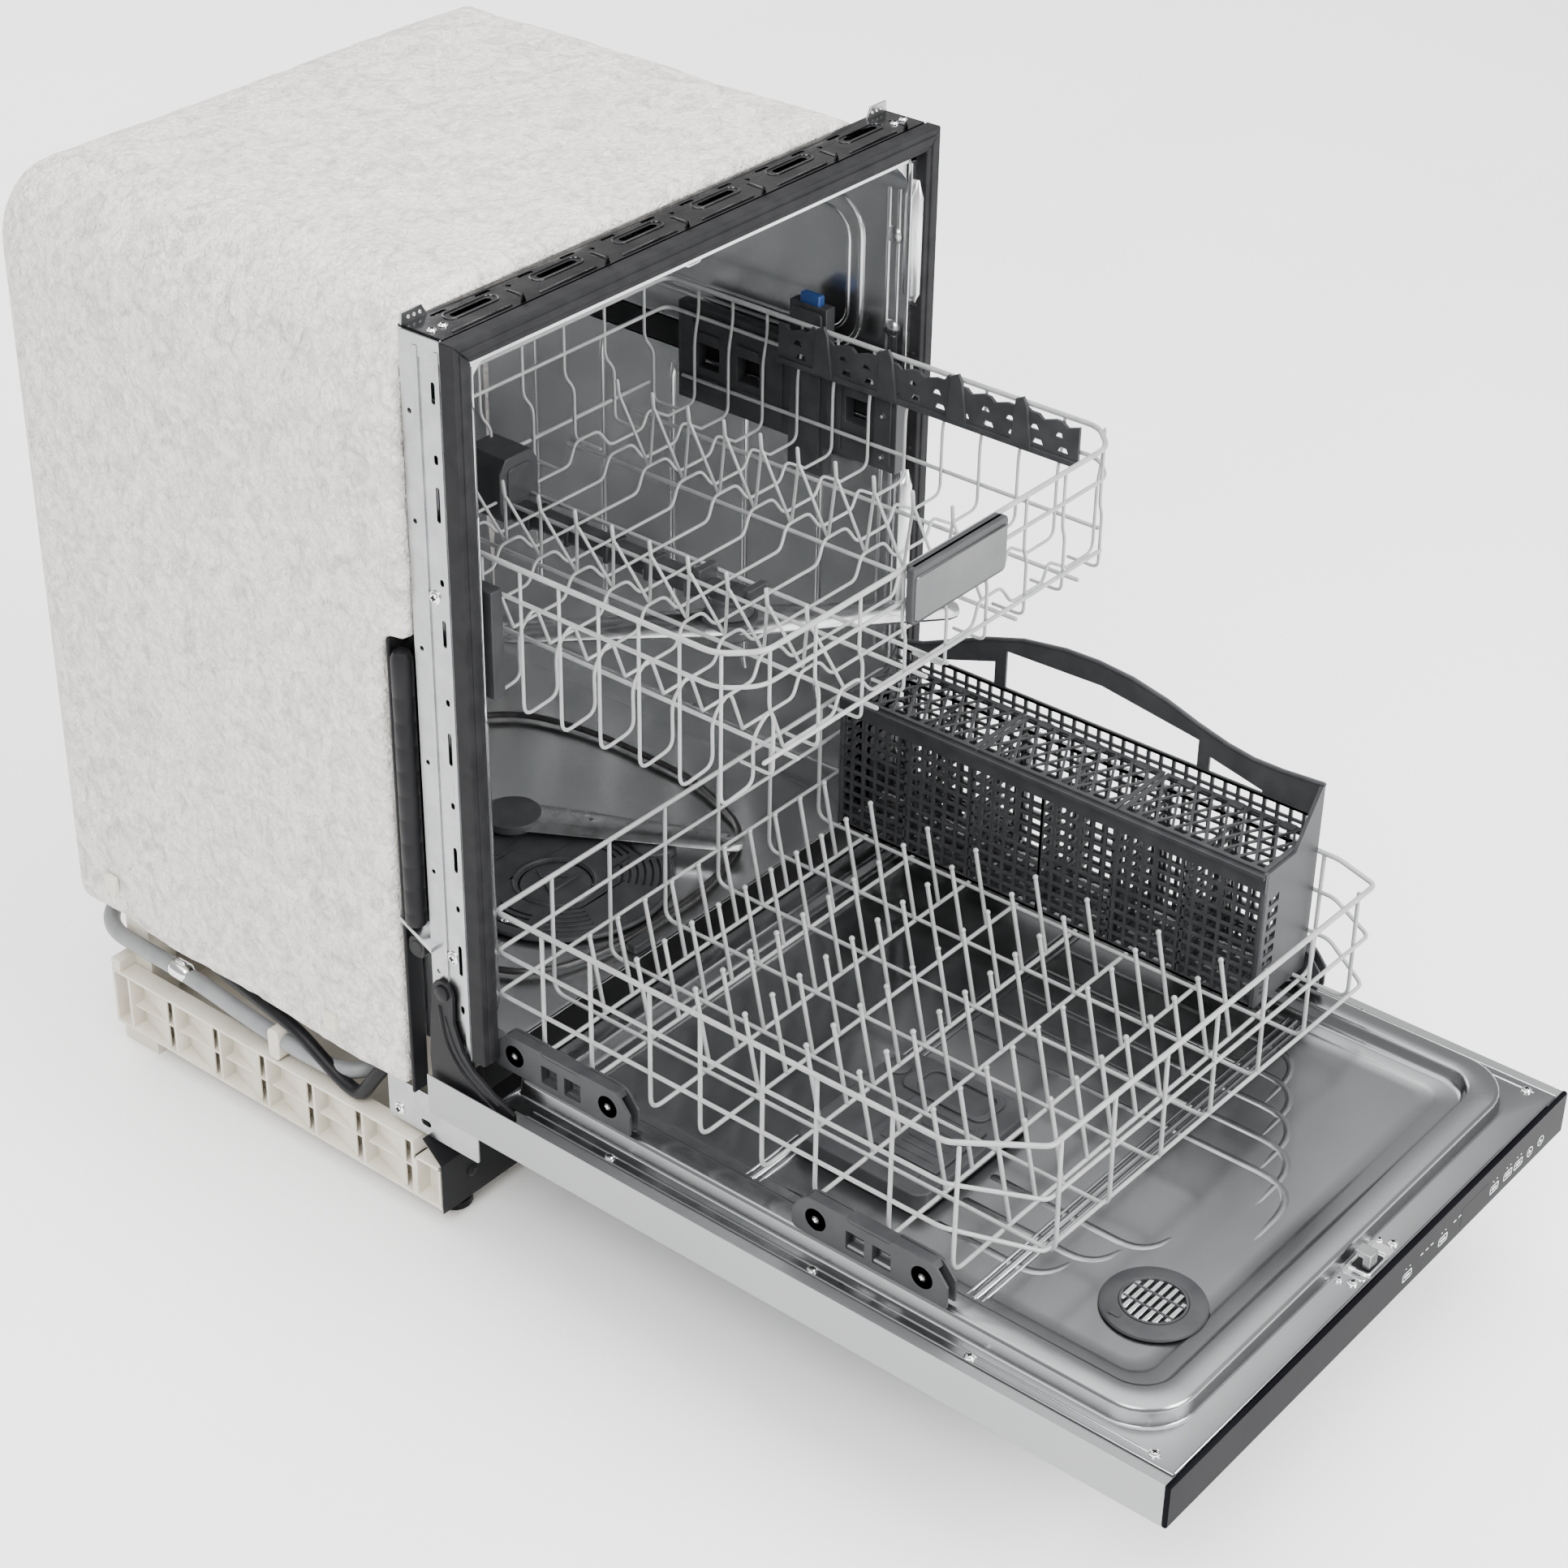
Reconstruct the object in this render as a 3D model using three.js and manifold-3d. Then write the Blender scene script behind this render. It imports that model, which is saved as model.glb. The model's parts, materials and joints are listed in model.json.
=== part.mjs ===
// Built-in dishwasher, 24 inch class, standing with its door open flat and both racks drawn out.
// Millimetres, +Z up, +X to the right as seen from the front, the door opens towards -Y.
// Sizes are laid out from the front frame: y = 0 is the plane of the galvanised front frame and
// z = 0 is the floor. The whole group is then moved along Y so that its box is centred on the origin.

import * as THREE from 'three';
import { mergeVertices } from 'three/addons/utils/BufferGeometryUtils.js';
import Module from 'manifold-3d';

const wasm = await Module();
wasm.setup();

// ---------------------------------------------------------------- driving dimensions
const GAP = 0.3;                 // running and assembly gap between touching pieces
const HALF_WIDTH = 303;          // half the width of the door and of the wrapped cabinet
const CABINET_BACK = 515;        // rear face of the insulation
const CABINET_TOP = 872;         // top face of the insulation
const DOOR_TIP = -738;           // free end of the open door
const DOOR_UNDERSIDE = 131;      // outer face of the open door
const DOOR_FLANGE = 172;         // inner border of the open door
const LINER_TOP = 190.5;         // raised rim of the door liner, also the height of the tub floor

const TUB_HALF = 279.8;          // outside of the tub wrapper
const TUB_WALL = 1.5;
const TUB_TOP = 840;
const TUB_BACK = 488;            // front face of the back wall
const TUB_FRONT = -30;
const TUB_FLOOR = 190.5;
const TUB_CORNER = 45;

const FRAME_HALF = 292;          // galvanised front frame
const FRAME_TOP = 861;
const FRAME_SHEET = 1.5;
const FRAME_FRONT = -32.7;
const FRAME_BACK = 12;

const SEAL_HALF = 295;           // black trim that carries the door seal
const SEAL_TOP = 860.5;
const SEAL_BOTTOM = 204;
const SEAL_BAR = 18;
const SEAL_FRONT = -57;
const SEAL_BACK = -33;

const BLANKET_NOTCH_TOP = 590;   // the insulation steps back below this height to clear the springs
const BLANKET_NOTCH_BACK = 41;
const BLANKET_BOTTOM = 137;

const BASE_HALF = 299.8;
const BASE_FRONT = 8.4;
const BASE_BACK = 436;
const BASE_BOTTOM = 23;
const BASE_RIM = 84;
const LEG_X = 262;
const LEG_Y = 30;

const UPPER = { half: 250, front: -287, back: 223, low: 545, high: 665 };
const LOWER = { half: 262, front: -560, back: -30, low: 214, high: 340 };
const GRILLE = 3;                // thickness of a wire grille
const UPPER_ARM = { x: 0, y: -65, low: 508, high: 517, half: 195, turn: -43 };
const LOWER_ARM = { x: 0, y: 200, low: 201.5, high: 209, half: 222, turn: -62 };

const ROLLER_RADIUS = 12.2;
const ROLLER_Z = LINER_TOP + GAP + ROLLER_RADIUS;
const ROLLER_INNER_X = 266;
const ROLLER_OUTER_X = 272;
const CARRIER_LENGTH = 152;
const REAR_CARRIER_Y = -40;      // rear end of the rear wheel carriers
const FRONT_CARRIER_Y = -362;    // rear end of the front wheel carriers
const ROLLER_INSET = 27;         // from each end of a carrier to its roller's axis

const BASKET = { left: 175, right: 258, front: -500, back: -50, low: 218, high: 355 };
const BASKET_WALL = 2.6;
const LID_COUNT = 3;
const LID_THICKNESS = 3;
const LID_HINGE_X = 253;

// ---------------------------------------------------------------- materials
const finish = (color, roughness, metalness = 0) => {
  return new THREE.MeshStandardMaterial({ color, roughness, metalness });
};
const felt = finish('#dedbd5', 0.98);
const galvanised = finish('#c3c6c8', 0.35, 0.9);
const tubSteel = finish('#c9cbcd', 0.18, 1);
const doorSteel = finish('#bcbebf', 0.32, 1);
const cream = finish('#d9d2bf', 0.6);
const blackPaint = finish('#202122', 0.5, 0.2);
const blackRubber = finish('#1b1c1d', 0.75);
const darkPlastic = finish('#3b3d3f', 0.55);
const glossBlack = finish('#0a0a0b', 0.12);
const rackNylon = finish('#a7a9aa', 0.45);
const blueButton = finish('#27406f', 0.4);
const handleSilver = finish('#9fa1a3', 0.3, 0.8);
const hoseGrey = finish('#8e9092', 0.6);
const heaterRod = finish('#2c2c2e', 0.4, 0.7);

// ---------------------------------------------------------------- shape helpers
// A block between exact coordinates, so that blocks that share a face share it exactly.
const slab = (x0, x1, y0, y1, z0, z1) => {
  const geometry = new THREE.BoxGeometry(1, 1, 1);
  const corners = geometry.attributes.position;
  for (let i = 0; i < corners.count; i += 1) {
    const x = corners.getX(i) < 0 ? x0 : x1;
    const y = corners.getY(i) < 0 ? y0 : y1;
    const z = corners.getZ(i) < 0 ? z0 : z1;
    corners.setXYZ(i, x, y, z);
  }
  return geometry;
};

// A solid from a closed geometry, for joining and cutting.
const solid = (geometry) => {
  const bare = geometry.index ? geometry.toNonIndexed() : geometry.clone();
  bare.deleteAttribute('normal');
  bare.deleteAttribute('uv');
  const merged = mergeVertices(bare, 1e-4);
  return new wasm.Manifold(new wasm.Mesh({
    numProp: 3,
    vertProperties: new Float32Array(merged.attributes.position.array),
    triVerts: new Uint32Array(merged.index.array),
  }));
};

const join = (geometries) => geometries.map(solid).reduce((a, b) => a.add(b));
const cut = (body, geometries) => geometries.map(solid).reduce((a, b) => a.subtract(b), body);

const shell = (body) => {
  const mesh = body.getMesh();
  const geometry = new THREE.BufferGeometry();
  geometry.setAttribute('position', new THREE.BufferAttribute(mesh.vertProperties, 3));
  geometry.setIndex(new THREE.BufferAttribute(mesh.triVerts, 1));
  const flat = geometry.toNonIndexed();
  flat.computeVertexNormals();
  return flat;
};

// Prisms of a flat outline. The outline's two axes become the two named row axes.
const alongY = (shape, y0, y1, curveSegments = 5) => {
  const geometry = new THREE.ExtrudeGeometry(shape, { depth: y1 - y0, bevelEnabled: false, curveSegments });
  return geometry.rotateX(Math.PI / 2).translate(0, y1, 0);
};
const alongX = (shape, x0, x1, curveSegments = 5) => {
  const geometry = new THREE.ExtrudeGeometry(shape, { depth: x1 - x0, bevelEnabled: false, curveSegments });
  return geometry.applyMatrix4(new THREE.Matrix4().set(0, 0, 1, x0, 1, 0, 0, 0, 0, 1, 0, 0, 0, 0, 0, 1));
};
const alongZ = (shape, z0, z1, curveSegments = 5) => {
  const geometry = new THREE.ExtrudeGeometry(shape, { depth: z1 - z0, bevelEnabled: false, curveSegments });
  return geometry.translate(0, 0, z0);
};

const polygon = (points) => new THREE.Shape(points.map(([u, v]) => new THREE.Vector2(u, v)));

// A rectangle whose four corner radii run counter-clockwise from the low corner.
const roundedRect = (u0, u1, v0, v1, radii, Kind = THREE.Shape) => {
  const [a, b, c, d] = radii;
  const shape = new Kind();
  shape.moveTo(u0 + a, v0);
  shape.lineTo(u1 - b, v0);
  if (b) shape.absarc(u1 - b, v0 + b, b, -Math.PI / 2, 0, false);
  shape.lineTo(u1, v1 - c);
  if (c) shape.absarc(u1 - c, v1 - c, c, 0, Math.PI / 2, false);
  shape.lineTo(u0 + d, v1);
  if (d) shape.absarc(u0 + d, v1 - d, d, Math.PI / 2, Math.PI, false);
  shape.lineTo(u0, v0 + a);
  if (a) shape.absarc(u0 + a, v0 + a, a, Math.PI, 1.5 * Math.PI, false);
  return shape;
};

// An upright arch outline, open at the bottom: legs down both sides and rounded upper corners.
const arch = (outerHalf, innerHalf, bottom, outerTop, innerTop, outerRadius, innerRadius) => {
  const outer = roundedRect(-outerHalf, outerHalf, bottom, outerTop, [0, 0, outerRadius, outerRadius]);
  const inner = roundedRect(-innerHalf, innerHalf, bottom - 1, innerTop, [0, 0, innerRadius, innerRadius]);
  return { outer, inner };
};
const archSolid = (outline, y0, y1) => {
  return cut(solid(alongY(outline.outer, y0, y1)), [alongY(outline.inner, y0 - 1, y1 + 1)]);
};

const rod = (radius, length, segments = 16) => new THREE.CylinderGeometry(radius, radius, length, segments);
const uprightRod = (x, y, radius, z0, z1, segments = 16) => {
  return rod(radius, z1 - z0, segments).rotateX(Math.PI / 2).translate(x, y, (z0 + z1) / 2);
};
const crossRod = (y, z, radius, x0, x1, segments = 16) => {
  return rod(radius, x1 - x0, segments).rotateZ(Math.PI / 2).translate((x0 + x1) / 2, y, z);
};

// A tube of a round section along a curve.
const tube = (points, radius, steps, sides = 8) => {
  const curve = new THREE.CatmullRomCurve3(points.map((p) => new THREE.Vector3(...p)));
  const section = new THREE.Shape();
  section.absarc(0, 0, radius, 0, 2 * Math.PI, false);
  return new THREE.ExtrudeGeometry(section, { steps, extrudePath: curve, curveSegments: sides });
};

// A flat wire grille across one axis: a plate with a grid of windows that leaves even bars.
// u and v are the two row axes in the plane, in X, Y, Z order.
const grille = (axis, t0, t1, u0, u1, v0, v1, columns, rows, bar) => {
  const block = (ta, tb, ua, ub, va, vb) => {
    if (axis === 'x') return slab(ta, tb, ua, ub, va, vb);
    if (axis === 'y') return slab(ua, ub, ta, tb, va, vb);
    return slab(ua, ub, va, vb, ta, tb);
  };
  const du = (u1 - u0 - bar) / columns;
  const dv = (v1 - v0 - bar) / rows;
  const windows = [];
  for (let i = 0; i < columns; i += 1) {
    for (let j = 0; j < rows; j += 1) {
      const u = u0 + bar + i * du;
      const v = v0 + bar + j * dv;
      windows.push(block(t0 - 1, t1 + 1, u, u + du - bar, v, v + dv - bar));
    }
  }
  return shell(cut(solid(block(t0, t1, u0, u1, v0, v1)), windows));
};

const dishwasher = new THREE.Group();
dishwasher.position.y = -(DOOR_TIP + CABINET_BACK) / 2;

const add = (name, geometry, material, parent = dishwasher) => {
  const mesh = new THREE.Mesh(geometry, material);
  mesh.name = name;
  parent.add(mesh);
  return mesh;
};

const SIDES = [['left', -1], ['right', 1]];
// The low and high X of a span that is given for the right-hand side.
const spanX = (side, near, far) => (side < 0 ? [-far, -near] : [near, far]);

// ---------------------------------------------------------------- base
const RIM_STEP = 40;             // behind this the base stands up to its full rim height
const FRONT_RIM = 68;
const POST_FRONT = 52;
const POST_TOP = TUB_FLOOR - TUB_WALL - 0.8 - GAP;
const BASE_WEB = 284;            // the side webs are set in, with ribs out to the rim
const RIB_PITCH = 62;
const LEG_SOCKET = 12;
const LEG_STEM = 6;

const basePieces = () => {
  const pieces = [
    slab(-BASE_HALF, BASE_HALF, BASE_FRONT, BASE_BACK, BASE_BOTTOM, BASE_BOTTOM + 3),
    slab(-BASE_WEB, BASE_WEB, BASE_FRONT, BASE_FRONT + 3, BASE_BOTTOM, FRONT_RIM),
    slab(-BASE_HALF, BASE_HALF, BASE_BACK - 3, BASE_BACK, BASE_BOTTOM, BASE_RIM),
  ];
  for (const [, side] of SIDES) {
    const [web0, web1] = spanX(side, BASE_WEB - 3, BASE_WEB);
    const [rim0, rim1] = spanX(side, BASE_WEB - 3, BASE_HALF);
    pieces.push(slab(web0, web1, BASE_FRONT, RIM_STEP, BASE_BOTTOM, FRONT_RIM));
    pieces.push(slab(web0, web1, RIM_STEP, BASE_BACK, BASE_BOTTOM, BASE_RIM));
    pieces.push(slab(rim0, rim1, RIM_STEP, BASE_BACK, BASE_RIM - 3, BASE_RIM));
    for (let y = RIM_STEP; y < BASE_BACK; y += RIB_PITCH) {
      pieces.push(slab(rim0, rim1, y, y + 3, BASE_BOTTOM, BASE_RIM));
    }
    const [post0, post1] = spanX(side, BASE_WEB - 34, BASE_WEB - 4);
    const [foot0, foot1] = spanX(side, LEG_X - 30, LEG_X + 30);
    pieces.push(slab(post0, post1, POST_FRONT, POST_FRONT + 30, BASE_BOTTOM, POST_TOP));
    pieces.push(slab(post0, post1, BASE_BACK - 34, BASE_BACK - 4, BASE_BOTTOM, POST_TOP));
    pieces.push(slab(foot0, foot1, BASE_BACK - 46, BASE_BACK, 0, BASE_BOTTOM + 1));
    pieces.push(uprightRod(side * LEG_X, LEG_Y, LEG_SOCKET, BASE_BOTTOM, 62, 12));
  }
  return pieces;
};
const legHole = (side) => uprightRod(side * LEG_X, LEG_Y, LEG_STEM + GAP, 0, 58, 12);
add('base_pan', shell(cut(join(basePieces()), [legHole(-1), legHole(1)])), cream);

for (const [name, side] of SIDES) {
  const leg = join([
    uprightRod(side * LEG_X, LEG_Y, 16, 0, 8, 18),
    uprightRod(side * LEG_X, LEG_Y, LEG_STEM, 7, 55, 12),
  ]);
  add(`levelling_leg_${name}`, shell(leg), blackPaint);
}

// Folded toe kick: an upright flange, a slope and the lower panel.
const toeKickProfile = polygon([
  [6.5, 19], [7.7, 19], [7.7, 71.4], [35.2, 97.4], [35.2, 122], [34, 122], [34, 98], [6.5, 72],
]);
const TOE_HALF = 299;
const SIDE_PLATE_BOTTOM = 92;    // the frame's side plates come down to here, either side of the flange
const toeCorners = [-1, 1].map((side) => {
  const [x0, x1] = spanX(side, FRAME_HALF - FRAME_SHEET - GAP, TOE_HALF + 1);
  return slab(x0, x1, 0, 40, SIDE_PLATE_BOTTOM - GAP, 125);
});
add('toe_kick', shell(cut(solid(alongX(toeKickProfile, -TOE_HALF, TOE_HALF)), toeCorners)), blackPaint);

// ---------------------------------------------------------------- works under the tub
const MOTOR = { x: 0, y: 200 };
const motor = join([
  uprightRod(MOTOR.x, MOTOR.y, 62, 150, 187, 24),
  uprightRod(MOTOR.x, MOTOR.y, 43, 60, 151, 20),
  crossRod(MOTOR.y - 40, 120, 24, MOTOR.x + 30, MOTOR.x + 120, 14),
]);
add('wash_motor', shell(motor), blackPaint);

// The drain hose leaves the sump, runs along the left side between the base and the insulation,
// and turns up the back of the cabinet.
const hoseRoute = [
  [-66, 190, 165], [-110, 178, 165], [-175, 158, 150], [-232, 138, 122], [-268, 118, 106], [-287, 140, 102],
  [-290, 175, 103], [-290, 220, 104], [-290, 265, 108], [-290, 310, 114], [-290, 360, 118],
  [-290, 405, 118],
  [-286, 446, 116], [-262, 476, 114], [-215, 496, 112], [-165, 502, 112],
];
add('drain_hose', tube(hoseRoute, 8, 36, 4), hoseGrey);

// ---------------------------------------------------------------- tub
const WALL_BOTTOM = TUB_FLOOR - TUB_WALL;
const tubOutline = arch(
  TUB_HALF, TUB_HALF - TUB_WALL, WALL_BOTTOM, TUB_TOP, TUB_TOP - TUB_WALL,
  TUB_CORNER, TUB_CORNER - TUB_WALL,
);
add('tub_wrapper', shell(archSolid(tubOutline, TUB_FRONT, TUB_BACK - GAP)), tubSteel);

const backOutline = roundedRect(-TUB_HALF, TUB_HALF, WALL_BOTTOM, TUB_TOP, [0, 0, TUB_CORNER, TUB_CORNER]);
add('tub_back', alongY(backOutline, TUB_BACK, TUB_BACK + TUB_WALL), tubSteel);

const FILTER = { x: -32, y: 108, radius: 104 };
const CUP = { x: -44, y: 104, radius: 34 };
const FLOOR_HALF = TUB_HALF - TUB_WALL - GAP;
const floorPieces = [
  slab(-FLOOR_HALF, FLOOR_HALF, TUB_FRONT, TUB_BACK - GAP, TUB_FLOOR - TUB_WALL, TUB_FLOOR),
  slab(-FLOOR_HALF, FLOOR_HALF, TUB_FRONT, TUB_FRONT + TUB_WALL, 160, TUB_FLOOR),
];
const sumpHole = uprightRod(CUP.x, CUP.y, CUP.radius + 3, 180, 200, 24);
add('tub_floor', shell(cut(join(floorPieces), [sumpHole])), tubSteel);

const filterRing = alongZ((() => {
  const shape = new THREE.Shape();
  shape.absarc(FILTER.x, FILTER.y, FILTER.radius, 0, 2 * Math.PI, false);
  const hole = new THREE.Path();
  hole.absarc(CUP.x, CUP.y, CUP.radius + GAP + 0.4, 0, 2 * Math.PI, true);
  shape.holes.push(hole);
  return shape;
})(), TUB_FLOOR + GAP, 195.5, 14);
add('filter_plate', filterRing, darkPlastic);

const cup = join([
  uprightRod(CUP.x, CUP.y, CUP.radius, 152, 197, 24),
  slab(CUP.x - 5, CUP.x + 5, CUP.y - 28, CUP.y + 28, 196, 198.5),
]);
add('filter_cup', shell(cup), darkPlastic);

// Heating element: a rod bent into a loop round the filter, with both tails turned down at the back.
const HEATER_Z = 196.2;
const heaterRoute = [
  [-14, 388, HEATER_Z], [-80, 380, HEATER_Z], [-165, 340, HEATER_Z], [-196, 250, HEATER_Z],
  [-198, 120, HEATER_Z],
  [-170, 20, HEATER_Z], [-90, -8, HEATER_Z], [40, -8, HEATER_Z], [130, 20, HEATER_Z], [170, 120, HEATER_Z],
  [172, 250, HEATER_Z], [150, 340, HEATER_Z], [80, 380, HEATER_Z], [14, 388, HEATER_Z],
];
add('heating_element', tube(heaterRoute, 3.2, 38, 3), heaterRod);

// ---------------------------------------------------------------- front frame, seal, insulation
const frameSkin = arch(FRAME_HALF, FRAME_HALF - FRAME_SHEET, 135, FRAME_TOP, FRAME_TOP - FRAME_SHEET, 4, 3);
const frameWeb = arch(FRAME_HALF - 1, TUB_HALF + GAP, 200, FRAME_TOP - 1, TUB_TOP + GAP, 4, TUB_CORNER);
const framePieces = [archSolid(frameSkin, FRAME_FRONT, FRAME_BACK), archSolid(frameWeb, -1, 0.5)];
for (const side of [-1, 1]) {
  const [plate0, plate1] = spanX(side, FRAME_HALF - FRAME_SHEET, FRAME_HALF);
  framePieces.push(solid(slab(plate0, plate1, FRAME_FRONT, 75, SIDE_PLATE_BOTTOM, 136)));
}
add('front_frame', shell(framePieces.reduce((a, b) => a.add(b))), galvanised);

const sealOutline = arch(
  SEAL_HALF, SEAL_HALF - SEAL_BAR, SEAL_BOTTOM, SEAL_TOP, SEAL_TOP - SEAL_BAR, 0, 0,
);
add('tub_seal', shell(archSolid(sealOutline, SEAL_FRONT, SEAL_BACK)), blackRubber);

// The blanket's outside is rounded in all three directions; its inside follows the tub.
const blanket = () => {
  const front = roundedRect(-HALF_WIDTH, HALF_WIDTH, BLANKET_BOTTOM, CABINET_TOP, [0, 0, 92, 92]);
  const plan = roundedRect(-HALF_WIDTH, HALF_WIDTH, FRAME_BACK + 1, CABINET_BACK, [0, 0, 58, 58]);
  const profile = roundedRect(FRAME_BACK + 1, CABINET_BACK, BLANKET_BOTTOM, CABINET_TOP, [0, 0, 86, 0]);
  const outside = solid(alongY(front, 0, CABINET_BACK + 5, 8))
    .intersect(solid(alongX(profile, -HALF_WIDTH - 5, HALF_WIDTH + 5, 8)))
    .intersect(solid(alongZ(plan, BLANKET_BOTTOM - 5, CABINET_TOP + 5, 6)));
  const tubHalf = TUB_HALF + 0.6;
  const inside = roundedRect(-tubHalf, tubHalf, 100, TUB_TOP + 0.6, [0, 0, TUB_CORNER, TUB_CORNER]);
  const notches = [-1, 1].map((side) => {
    const [x0, x1] = spanX(side, TUB_HALF - 5, HALF_WIDTH + 5);
    return slab(x0, x1, 0, BLANKET_NOTCH_BACK, 100, BLANKET_NOTCH_TOP);
  });
  return cut(outside, [alongY(inside, 0, TUB_BACK + TUB_WALL + 0.6), ...notches]);
};
add('insulation_blanket', shell(blanket()), felt);

// ---------------------------------------------------------------- spray arms
const sprayArm = (arm, hubRadius, hubLow, hubHigh) => {
  const blade = new THREE.Shape();
  blade.absarc(arm.half - 17, 0, 17, -Math.PI / 2, Math.PI / 2, false);
  blade.lineTo(0, 25);
  blade.absarc(17 - arm.half, 0, 17, Math.PI / 2, 1.5 * Math.PI, false);
  blade.lineTo(0, -25);
  const turn = THREE.MathUtils.degToRad(arm.turn);
  const body = alongZ(blade, arm.low, arm.high, 6).rotateZ(turn).translate(arm.x, arm.y, 0);
  return join([body, uprightRod(arm.x, arm.y, hubRadius, hubLow, hubHigh, 18)]);
};
add('lower_spray_arm', shell(sprayArm(LOWER_ARM, 28, 200.5, 211)), handleSilver);
add('upper_spray_arm', shell(sprayArm(UPPER_ARM, 24, 504, 521)), handleSilver);

const feedTube = join([
  uprightRod(UPPER_ARM.x, UPPER_ARM.y, 20, 521 + GAP, 540, 18),
  slab(-13, 13, UPPER_ARM.y, UPPER.back + 2, 526, 543),
]);
add('rack_feed_tube', shell(feedTube), darkPlastic);

// ---------------------------------------------------------------- racks
const RACK_BAR = 4;
const rackGrilles = (name, rack) => {
  const { half, front, back, low, high } = rack;
  const floorTop = low + GRILLE;
  const wallLow = floorTop + GAP;
  const sideFront = front + GRILLE + GAP;
  const sideBack = back - GRILLE - GAP;
  const wall = (axis, t0, t1, u0, u1) => grille(axis, t0, t1, u0, u1, wallLow, high, 4, 2, RACK_BAR);
  const floor = grille('z', low, floorTop, -half, half, front, back, 4, 4, RACK_BAR);
  add(`${name}_floor`, floor, rackNylon);
  add(`${name}_left`, wall('x', -half, -half + GRILLE, sideFront, sideBack), rackNylon);
  add(`${name}_right`, wall('x', half - GRILLE, half, sideFront, sideBack), rackNylon);
  add(`${name}_front`, wall('y', front, front + GRILLE, -half, half), rackNylon);
  add(`${name}_back`, wall('y', back - GRILLE, back, -half, half), rackNylon);
};
rackGrilles('upper_rack', UPPER);
rackGrilles('lower_rack', LOWER);

const grip = roundedRect(-60, 64, 614, 668, [4, 4, 4, 4]);
add('upper_rack_handle', alongY(grip, UPPER.front - 13, UPPER.front - GAP, 2), handleSilver);

// Rack lift: a carriage on each side, made of two slotted plates and a post between them, with a
// release button that slides in a pocket in the post's top.
const POST = { y0: 36, y1: 78, top: 681 };
const ADJUSTER = { inner: UPPER.half + 0.5, outer: 263, y0: -45, y1: 209, low: 546, high: 642 };
const BUTTON = { inner: 252.5, outer: 261, y0: 46, y1: 68, low: 668, high: 690 };
for (const [name, side] of SIDES) {
  const [x0, x1] = spanX(side, ADJUSTER.inner, ADJUSTER.outer);
  const [button0, button1] = spanX(side, BUTTON.inner, BUTTON.outer);
  const plates = join([
    slab(x0, x1, ADJUSTER.y0, ADJUSTER.y1, ADJUSTER.low, ADJUSTER.high),
    slab(x0, x1, POST.y0, POST.y1, 516, POST.top),
  ]);
  const windows = [-14, 112, 160].map((y) => slab(x0 - 1, x1 + 1, y, y + 26, 582, 606));
  const pocket = slab(button0 - GAP, button1 + GAP, BUTTON.y0 - GAP, BUTTON.y1 + GAP, 660, 700);
  add(`rack_adjuster_${name}`, shell(cut(plates, [...windows, pocket])), darkPlastic);
  add(
    `adjuster_button_${name}`,
    slab(button0, button1, BUTTON.y0, BUTTON.y1, BUTTON.low, BUTTON.high),
    blueButton,
  );
  const [rail0, rail1] = spanX(side, 264, 275);
  add(`upper_rail_${name}`, slab(rail0, rail1, -26, 340, 586, 612), blackPaint);
}

const CUP_SHELF = { y0: -243, y1: 83, low: 622, high: 667 };
const shelf = grille('x', 241, 245, CUP_SHELF.y0, CUP_SHELF.y1, CUP_SHELF.low, CUP_SHELF.high, 6, 1, 6);
add('cup_shelf', shelf, darkPlastic);

// Wheel carriers, each holding two rollers that run on the door liner and on the tub floor.
const carrierOutline = (end) => {
  return roundedRect(end - CARRIER_LENGTH, end, 195, 232, [8, 8, 10, 10]);
};
for (const [name, side] of SIDES) {
  for (const [place, end] of [['rear', REAR_CARRIER_Y], ['front', FRONT_CARRIER_Y]]) {
    const axles = [end - ROLLER_INSET, end - CARRIER_LENGTH + ROLLER_INSET];
    const [carrier0, carrier1] = spanX(side, LOWER.half + GAP, 275.5);
    const [pocket0, pocket1] = spanX(side, ROLLER_INNER_X - GAP, ROLLER_OUTER_X + GAP);
    const pockets = axles.flatMap((y) => [
      crossRod(y, ROLLER_Z, ROLLER_RADIUS + 1.2, pocket0, pocket1, 12),
      slab(pocket0, pocket1, y - 6, y + 6, 190, 200),
    ]);
    const carrier = cut(solid(alongX(carrierOutline(end), carrier0, carrier1, 2)), pockets);
    add(`wheel_carrier_${place}_${name}`, shell(carrier), darkPlastic);
    const [roller0, roller1] = spanX(side, ROLLER_INNER_X, ROLLER_OUTER_X);
    axles.forEach((y, index) => {
      const roller = crossRod(y, ROLLER_Z, ROLLER_RADIUS, roller0, roller1, 16);
      add(`rack_roller_${place}_${name}_${index + 1}`, roller, darkPlastic);
    });
  }
}

// ---------------------------------------------------------------- cutlery basket
const BASKET_LENGTH = BASKET.back - BASKET.front;
const CELL = (BASKET_LENGTH - BASKET_WALL) / LID_COUNT;
const HANDLE_MIDDLE = (BASKET.front + BASKET.back) / 2;
const handleOutline = () => {
  const shape = new THREE.Shape();
  shape.moveTo(BASKET.front, BASKET.high - 1);
  shape.lineTo(BASKET.back, BASKET.high - 1);
  shape.lineTo(BASKET.back, BASKET.high + 20);
  shape.quadraticCurveTo(BASKET.back - 60, 436, HANDLE_MIDDLE + 40, 436);
  shape.quadraticCurveTo(HANDLE_MIDDLE - 100, 434, BASKET.front + 60, 398);
  shape.lineTo(BASKET.front, 405);
  return shape;
};
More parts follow.
